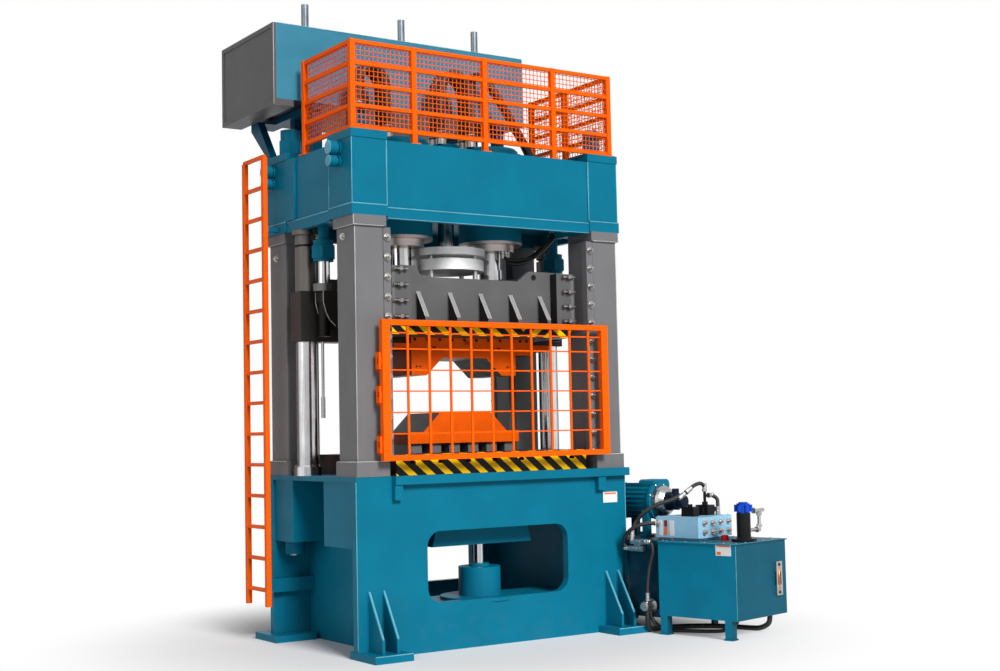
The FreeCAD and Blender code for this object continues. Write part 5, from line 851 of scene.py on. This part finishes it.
# %% [markdown]
# ## Washers and the level gauge
# Each plug of the manifold seals on a copper washer. The level gauge is a glass tube between
# two rails, full of amber oil and held by a dark screw at each end.

# %% Washers and level gauge
PLUG_FROM, PLUG_PITCH, PLUG_ROWS = 0.2775, 0.135, (0.964, 1.052)
BLOCK_FACE, PLUG_FACE = 0.529, 0.506
WASHER = [(0.010, 0), (0.020, 0.001), (0.020, 0.004), (0.010, 0.005)]
PLUG_CENTRE = [(0.002, 0), (0.010, 0.0005), (0.010, 0.003), (0.002, 0.004)]
plugs = [(PLUG_FROM + PLUG_PITCH * step, z) for step in range(4) for z in PLUG_ROWS]
washers = [turned(WASHER, unit_place((u, BLOCK_FACE, z)), unit_dir(*NEAR), 18) for u, z in plugs]
centres = [turned(PLUG_CENTRE, unit_place((u, PLUG_FACE, z)), unit_dir(*NEAR), 14)
           for u, z in plugs]
solid("plug_washers", *joined(washers + centres), "frame", "bright_steel", FINISHES["copper"])

GAUGE_U, RAIL_U, SCREW_Z = 0.691, (0.652, 0.730), (0.392, 0.652)
GAUGE_FACE, TUBE_V, TUBE_FOOT, RAIL_MIDDLE = -0.024, -0.019, 0.415, 0.522
glass = [turned([(0.004, 0), (0.011, 0.002), (0.011, 0.212), (0.004, 0.214)],
                unit_place((GAUGE_U, TUBE_V, TUBE_FOOT)), UP, 20)]
solid("gauge_tube", *joined(glass), "frame", "bright_steel", FINISHES["copper"], smooth=True)
screws = [turned([(0.013, 0), (0.016, 0.002), (0.016, 0.006), (0.012, 0.009)],
                 unit_place((GAUGE_U, GAUGE_FACE, z)), unit_dir(*NEAR), 16) for z in SCREW_Z]
solid("gauge_screws", *joined(screws), "frame", "bright_steel", FINISHES["dark_steel"])
rails = [plate(unit_place((u, GAUGE_FACE, RAIL_MIDDLE)), unit_dir(1, 0, 0), UP,
               0.020, 0.320, 0.004, 0.006) for u in RAIL_U]
solid("gauge_rails", *joined(rails), "frame", "bright_steel", FINISHES["bright_steel"])
print("washers:", len(washers), "gauge pieces:", len(glass + screws + rails))

# %% [markdown]
# ## The base's plate, and bolts
# A bare plate sits at the right of the base's front. Each left post has one large round screw
# head near its top. Rows of small hexagon heads hold the tank's lid and the manifold, and a
# ring of them holds the motor's bell housing.

# %% Base plate and bolts
BASE_FRONT, BASE_PLATE_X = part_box("apron")[1].y, 1.323
base_plates = {"base_plate": ("plate_white", 1.305, 0.176, 0.104, 0.002),
               "base_plate_band": ("plate_orange", 1.342, 0.150, 0.016, 0.003)}
for name, (finish, z, wide, high, thick) in base_plates.items():
    face = plate((BASE_PLATE_X, BASE_FRONT, z), (1, 0, 0), UP, wide, high, thick, 0.005)
    solid(name, *joined([face]), "frame", "bright_steel", FINISHES[finish])

POST_FACE = -1.482
COVER = [(0.034, 0), (0.034, 0.006), (0.026, 0.008), (0.026, 0.022), (0.014, 0.024),
         (0.014, 0.032), (0.010, 0.035)]
covers = [turned(COVER, (POST_FACE, y, z), LEFT, 24)
          for y, z in ((-0.663, 3.760), (0.727, 3.711))]
solid("post_cover_bolts", *joined(covers), "frame", "bright_steel", FINISHES["bright_steel"])

HEAD_HIGH = 0.010
LID_TOP, BLOCK_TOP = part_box("unit_tank")[1].z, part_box("manifold")[1].z
lid_places = [(u, v, LID_TOP) for u in np.linspace(0.05, 0.80, 6) for v in (0.024, 0.863)]
lid_places += [(u, v, LID_TOP) for v in np.linspace(0.14, 0.80, 4) for u in (0.020, 0.825)]
block_places = [(u, v, BLOCK_TOP) for u in (0.225, 0.735) for v in (0.565, 1.040)]
heads = bolts(unit_place(lid_places), UP, 0.011, HEAD_HIGH)
heads += bolts(unit_place(block_places), UP, 0.012, HEAD_HIGH)
solid("unit_bolts", *joined(heads), "frame", "bright_steel", FINISHES["bright_steel"])

BELL_U, BELL_V, BELL_Z, BOLT_CIRCLE = 0.535, 1.250, 1.240, 0.172
turn = np.radians(np.arange(8) * 45 + 22.5)
circle = unit_place([(BELL_U + BOLT_CIRCLE * math.cos(a), BELL_V,
                      BELL_Z + BOLT_CIRCLE * math.sin(a)) for a in turn])
heads = bolts(circle, unit_dir(*NEAR), 0.011, HEAD_HIGH)
solid("bell_bolts", *joined(heads), "frame", "bright_steel", FINISHES["bright_steel"])
print("bolt heads on the unit:", len(lid_places) + len(block_places) + len(circle))

# %% [markdown]
# ## Bolts of the dies and weld beads of the frame
# The upper die hangs from a row of clamps under the striped plate. Beads run where ribs and
# plates meet; they ride with the part that they belong to.

# %% Die bolts and weld beads
die_low, die_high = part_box("upper_die")
PLATE_FRONT, CLAMP_Z, DIE_SCREW_Z = die_low.y - 0.001, die_high.z - 0.019, die_low.z + 0.085
clamp_x = [*np.linspace(-0.56, 0.56, 9), 0.66, 0.74]
heads = bolts([(x, PLATE_FRONT, CLAMP_Z) for x in clamp_x], NEAR, 0.016, 0.014)
heads += bolts([(x, PLATE_FRONT, DIE_SCREW_Z) for x in (-0.545, -0.505, 0.505, 0.545)],
               NEAR, 0.010, 0.010)
solid("die_bolts", *joined(heads), "slide_group", "bright_steel", FINISHES["dark_steel"])

SIDES = (-1, 1)
SLIDE_FACE, SLIDE_RIB_X = 0.642, [step * 0.348 for step in range(-2, 3)]
beads = [bead((x + side * 0.021, -SLIDE_FACE, 3.000), (x + side * 0.021, -SLIDE_FACE, 3.290), 0.005)
         for x in SLIDE_RIB_X for side in SIDES]
solid("slide_beads", *joined(beads), "slide_group", "grey_paint", SPECIAL["slide"], smooth=True)
BASE_RIB_X = (1.247, 1.395)
beads = [bead((x + side * 0.016, -0.893, 0.070), (x + side * 0.016, -0.893, 0.585), 0.006)
         for hand in (1, -1) for x in (hand * rib for rib in BASE_RIB_X) for side in SIDES]
solid("base_beads", *joined(beads), "frame", "blue_paint", FINISHES["blue_paint"], smooth=True)
print("die bolts:", len(heads))

# %% [markdown]
# ## Edges that catch the light
# A welded and painted edge is never sharp: it is ground round, and shows as a thin pale line.
# Rounding every solid would take many faces, so a slim round bar lies along each edge that
# shows, in a paler colour of the same paint that is a painted highlight. It rides with the piece
# whose edge it is. The crown and the base come first: corner caps, flange band, foot plates, ribs
# and lifting bosses.

# %% Edges of the crown and the base
def rim(start, end, radius):
    """A thin round edge that catches the light, from one corner of a plate to the next."""
    start, end = np.asarray(start, float), np.asarray(end, float)
    length = float(np.linalg.norm(end - start))
    return turned([(radius * 0.2, 0), (radius, radius), (radius, length - radius),
                   (radius * 0.2, length)], start, end - start, 8)


INSET = 0.002
crown_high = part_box("crown")[1]
CAP_X, CAP_Y = 1.507, 0.886
CAP_INNER_X, CAP_INNER_Y = 1.149, 0.442
BAND_X, BAND_Y, BAND_TOP, CAP_TOP = crown_high.x - INSET, crown_high.y, 4.038, 4.640
BOSS_RIM = ((0.065, 4.570), (0.054, 4.448))
rims = []
for y in SIDES:
    for z, radius in ((4.018, 0.006), (3.921, 0.004)):
        rims.append(rim((-CAP_INNER_X, 0.887 * y, z), (CAP_INNER_X, 0.887 * y, z), radius))
    for x in SIDES:
        corner = (BAND_X * x, BAND_Y * y, BAND_TOP)
        rims.append(rim((CAP_INNER_X * x, BAND_Y * y, BAND_TOP), corner, 0.006))
        rims.append(rim((BAND_X * x, CAP_INNER_Y * y, BAND_TOP), corner, 0.006))
        for across, deep, radius in ((CAP_INNER_X, CAP_Y, 0.006), (CAP_X, CAP_INNER_Y, 0.005),
                                     (CAP_X, CAP_Y, 0.004)):
            rims.append(rim((across * x, deep * y, 4.040), (across * x, deep * y, CAP_TOP), radius))
for x in SIDES:
    rims.append(rim((1.508 * x, -CAP_INNER_Y, 4.028), (1.508 * x, CAP_INNER_Y, 4.028), 0.006))
    rims.append(rim((1.512 * x, -0.890, 0.080), (1.512 * x, -0.890, 1.550), 0.004))
    rims.append(rim((1.140 * x, -1.215, 0.064), (1.521 * x, -1.215, 0.064), 0.005))
    for rib in BASE_RIB_X:
        rims.append(rim((rib * x, -1.136, 0.186), (rib * x, -0.890, 0.590), 0.011))
    for y in (-0.640, 0.745):
        for radius, z in BOSS_RIM:
            rims.append(turned([(radius - 0.012, 0), (radius - 0.002, 0.002),
                                (radius, 0.005), (radius - 0.014, 0.006)],
                               (1.611 * x, y, z), (x, 0, 0), 32))
solid("frame_rims", *joined(rims), "frame", "blue_paint", FINISHES["edge_highlight_blue"], smooth=True)
print("edges of the crown and the base:", len(rims))

# %% [markdown]
# ## Edges of the two tanks
# The prefill tank shows its front and top edges, and the power unit's tank its front corner and
# the rim of its lid. The frame gives the prefill tank's faces.

# %% Edges of the tanks
tank_low, tank_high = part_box("top_tank")
TANK_LEFT, TANK_RIGHT = tank_low.x + 0.003, tank_high.x - INSET
TANK_FRONT, TANK_TOP = tank_low.y + INSET, tank_high.z - INSET
top_right = (TANK_RIGHT, TANK_FRONT, TANK_TOP)
rims = [rim((TANK_LEFT, TANK_FRONT, TANK_TOP), top_right, 0.006),
        rim((TANK_RIGHT, TANK_FRONT, tank_low.z + INSET), top_right, 0.005)]
LID_RIM = LID_TOP - 0.001
lid_corner = (0, 0, LID_RIM)
for foot, head in (((0.001, 0.001, 0.184), (0.001, 0.001, 0.876)),
                   (lid_corner, (0, 0.880, LID_RIM)), (lid_corner, (0.845, 0, LID_RIM))):
    rims.append(rim(unit_place(foot), unit_place(head), 0.003))
solid("tank_rims", *joined(rims), "frame", "tank_blue", FINISHES["edge_highlight_blue"], smooth=True)
print("edges of the tanks:", len(rims))

# %% [markdown]
# ## Edges of the posts
# Each post shows its outer corner and the edges of its two collars. The grey end cap of the
# prefill tank is edged with them, because it has the same paint.

# %% Edges of the posts
END_RIM = 0.004
end_low, end_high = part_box("tank_end_cap")
end_corner = (end_low.x + END_RIM, TANK_FRONT, TANK_TOP)
rims = [rim((end_corner[0], TANK_FRONT, end_low.z + 0.003), end_corner, END_RIM),
        rim(end_corner, (end_corner[0], end_high.y - END_RIM, TANK_TOP), END_RIM)]
POST_X, POST_Y, INNER_X, INNER_Y = 1.480, 0.873, 1.189, 0.529
COLLAR_X, COLLAR_Y = (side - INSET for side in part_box("post_rear_right")[1][:2])
for x in SIDES:
    for y in SIDES:
        post, collar = (POST_X * x, POST_Y * y), (COLLAR_X * x, COLLAR_Y * y)
        rims.append(rim((*post, 1.732), (*post, 3.843), 0.0045))
        rims.append(rim((*collar, 3.846), (*collar, 3.936), 0.0045))
        for z, radius in ((3.846, 0.004), (1.729, 0.005)):
            rims.append(rim((*collar, z), (INNER_X * x, COLLAR_Y * y, z), radius))
            rims.append(rim((*collar, z), (COLLAR_X * x, INNER_Y * y, z), radius))
solid("post_rims", *joined(rims), "frame", "grey_paint", FINISHES["edge_highlight_grey"], smooth=True)
print("edges of the posts:", len(rims))

# %% [markdown]
# ## Edges of the slide
# The side arms carry the return barrels and curve up to them, and their edges follow the
# curve. The slide's ribs are edged along both sides of their slope. All of it moves with the
# slide.

# %% Edges of the slide
ARM_EDGE = [(1.400, 3.325), (1.400, 3.222), (1.372, 3.120), (1.334, 3.053), (1.272, 2.996)]
ARM_FRONT, ARM_BACK = -0.094, 0.066
rims = []
for x in SIDES:
    for y in (ARM_FRONT, ARM_BACK):
        for (x1, z1), (x2, z2) in zip(ARM_EDGE, ARM_EDGE[1:]):
            rims.append(rim((x1 * x, y, z1), (x2 * x, y, z2), 0.004))
for rib in SLIDE_RIB_X:
    for side in SIDES:
        for y in SIDES:
            rims.append(rim((rib + side * 0.018, SLIDE_FACE * y, 3.298),
                            (rib + side * 0.018, 0.802 * y, 3.046), 0.0045))
solid("slide_rims", *joined(rims), "slide_group", "grey_paint", FINISHES["edge_highlight_grey"], smooth=True)
print("edges of the slide:", len(rims))

# %% [markdown]
# ## The studio
# A pale floor keeps the press's soft shadow. It fades to white away from the press, to the
# camera and to mirrors only, so that no more light falls on the press because of it.

# %% Floor
FLOOR = 60.0
floor_mesh = bpy.data.meshes.new("floor")
floor_mesh.from_pydata([(-FLOOR, -FLOOR, 0), (FLOOR, -FLOOR, 0), (FLOOR, FLOOR, 0),
                        (-FLOOR, FLOOR, 0)], [], [(0, 1, 2, 3)])
floor = bpy.data.objects.new("floor", floor_mesh)
bpy.context.scene.collection.objects.link(floor)


def seen_directly(tree):
    """1 for a ray from the camera, off a mirror or through glass: the largest of the three."""
    path = tree.nodes.new("ShaderNodeLightPath")
    seen = path.outputs["Is Camera Ray"]
    for kind in ("Is Glossy Ray", "Is Transmission Ray"):
        larger = tree.nodes.new("ShaderNodeMath")
        larger.operation = "MAXIMUM"
        tree.links.new(seen, larger.inputs[0])
        tree.links.new(path.outputs[kind], larger.inputs[1])
        seen = larger.outputs[0]
    return seen


FLOOR_GREY, FADE_FROM, FADE_TO = 0.92, 1.7, 4.2
ground = Finish("studio_floor", Roughness=0.9, Specular_IOR_Level=0.1,
                Base_Color=(FLOOR_GREY, FLOOR_GREY, FLOOR_GREY, 1))
tree = ground.tree
gx, gy, _ = ground.parts(ground.place)
away = (gx * gx + gy * gy).math("SQRT").rise(FADE_FROM, FADE_TO)
glow = tree.nodes.new("ShaderNodeEmission")
glow.inputs["Color"].default_value = (1, 1, 1, 1)
join = tree.nodes.new("ShaderNodeMixShader")
tree.links.new((away * Value(ground, seen_directly(tree))).socket, join.inputs[0])
tree.links.new(ground.shader.outputs[0], join.inputs[1])
tree.links.new(glow.outputs[0], join.inputs[2])
tree.links.new(join.outputs[0], tree.nodes["Material Output"].inputs["Surface"])
floor_mesh.materials.append(ground.material)

# %% [markdown]
# ## The sky and the lamps
# The world is white where the camera or a mirror sees it, and gives only a low fill elsewhere:
# strength = fill + seen x (1 - fill). A broad sun from the front is the main light, and a
# weaker one from the left lifts the shaded side.

# %% World and lamps
FILL = 0.15
world = bpy.data.worlds.new("studio")
bpy.context.scene.world = world
world.use_nodes = True
sky = world.node_tree
backdrop = sky.nodes["Background"]
backdrop.inputs["Color"].default_value = (1, 1, 1, 1)
level = sky.nodes.new("ShaderNodeMath")
level.operation = "MULTIPLY_ADD"
sky.links.new(seen_directly(sky), level.inputs[0])
level.inputs[1].default_value = 1 - FILL
level.inputs[2].default_value = FILL
sky.links.new(level.outputs[0], backdrop.inputs["Strength"])


def sun(name, direction, strength, spread):
    """A lamp far away, shining along a direction, with a disc `spread` degrees wide."""
    data = bpy.data.lights.new(name, "SUN")
    data.energy, data.angle = strength, math.radians(spread)
    lamp = bpy.data.objects.new(name, data)
    lamp.rotation_mode = "QUATERNION"
    lamp.rotation_quaternion = Vector(direction).to_track_quat("-Z", "Y")
    bpy.context.scene.collection.objects.link(lamp)


sun("key", (0.06, 1.0, -0.62), 3.3, 20)
sun("left_fill", (1.0, 0.25, -0.45), 0.42, 40)
bpy.context.scene.view_settings.view_transform = "Standard"
print("lamps:", len(bpy.data.lights))
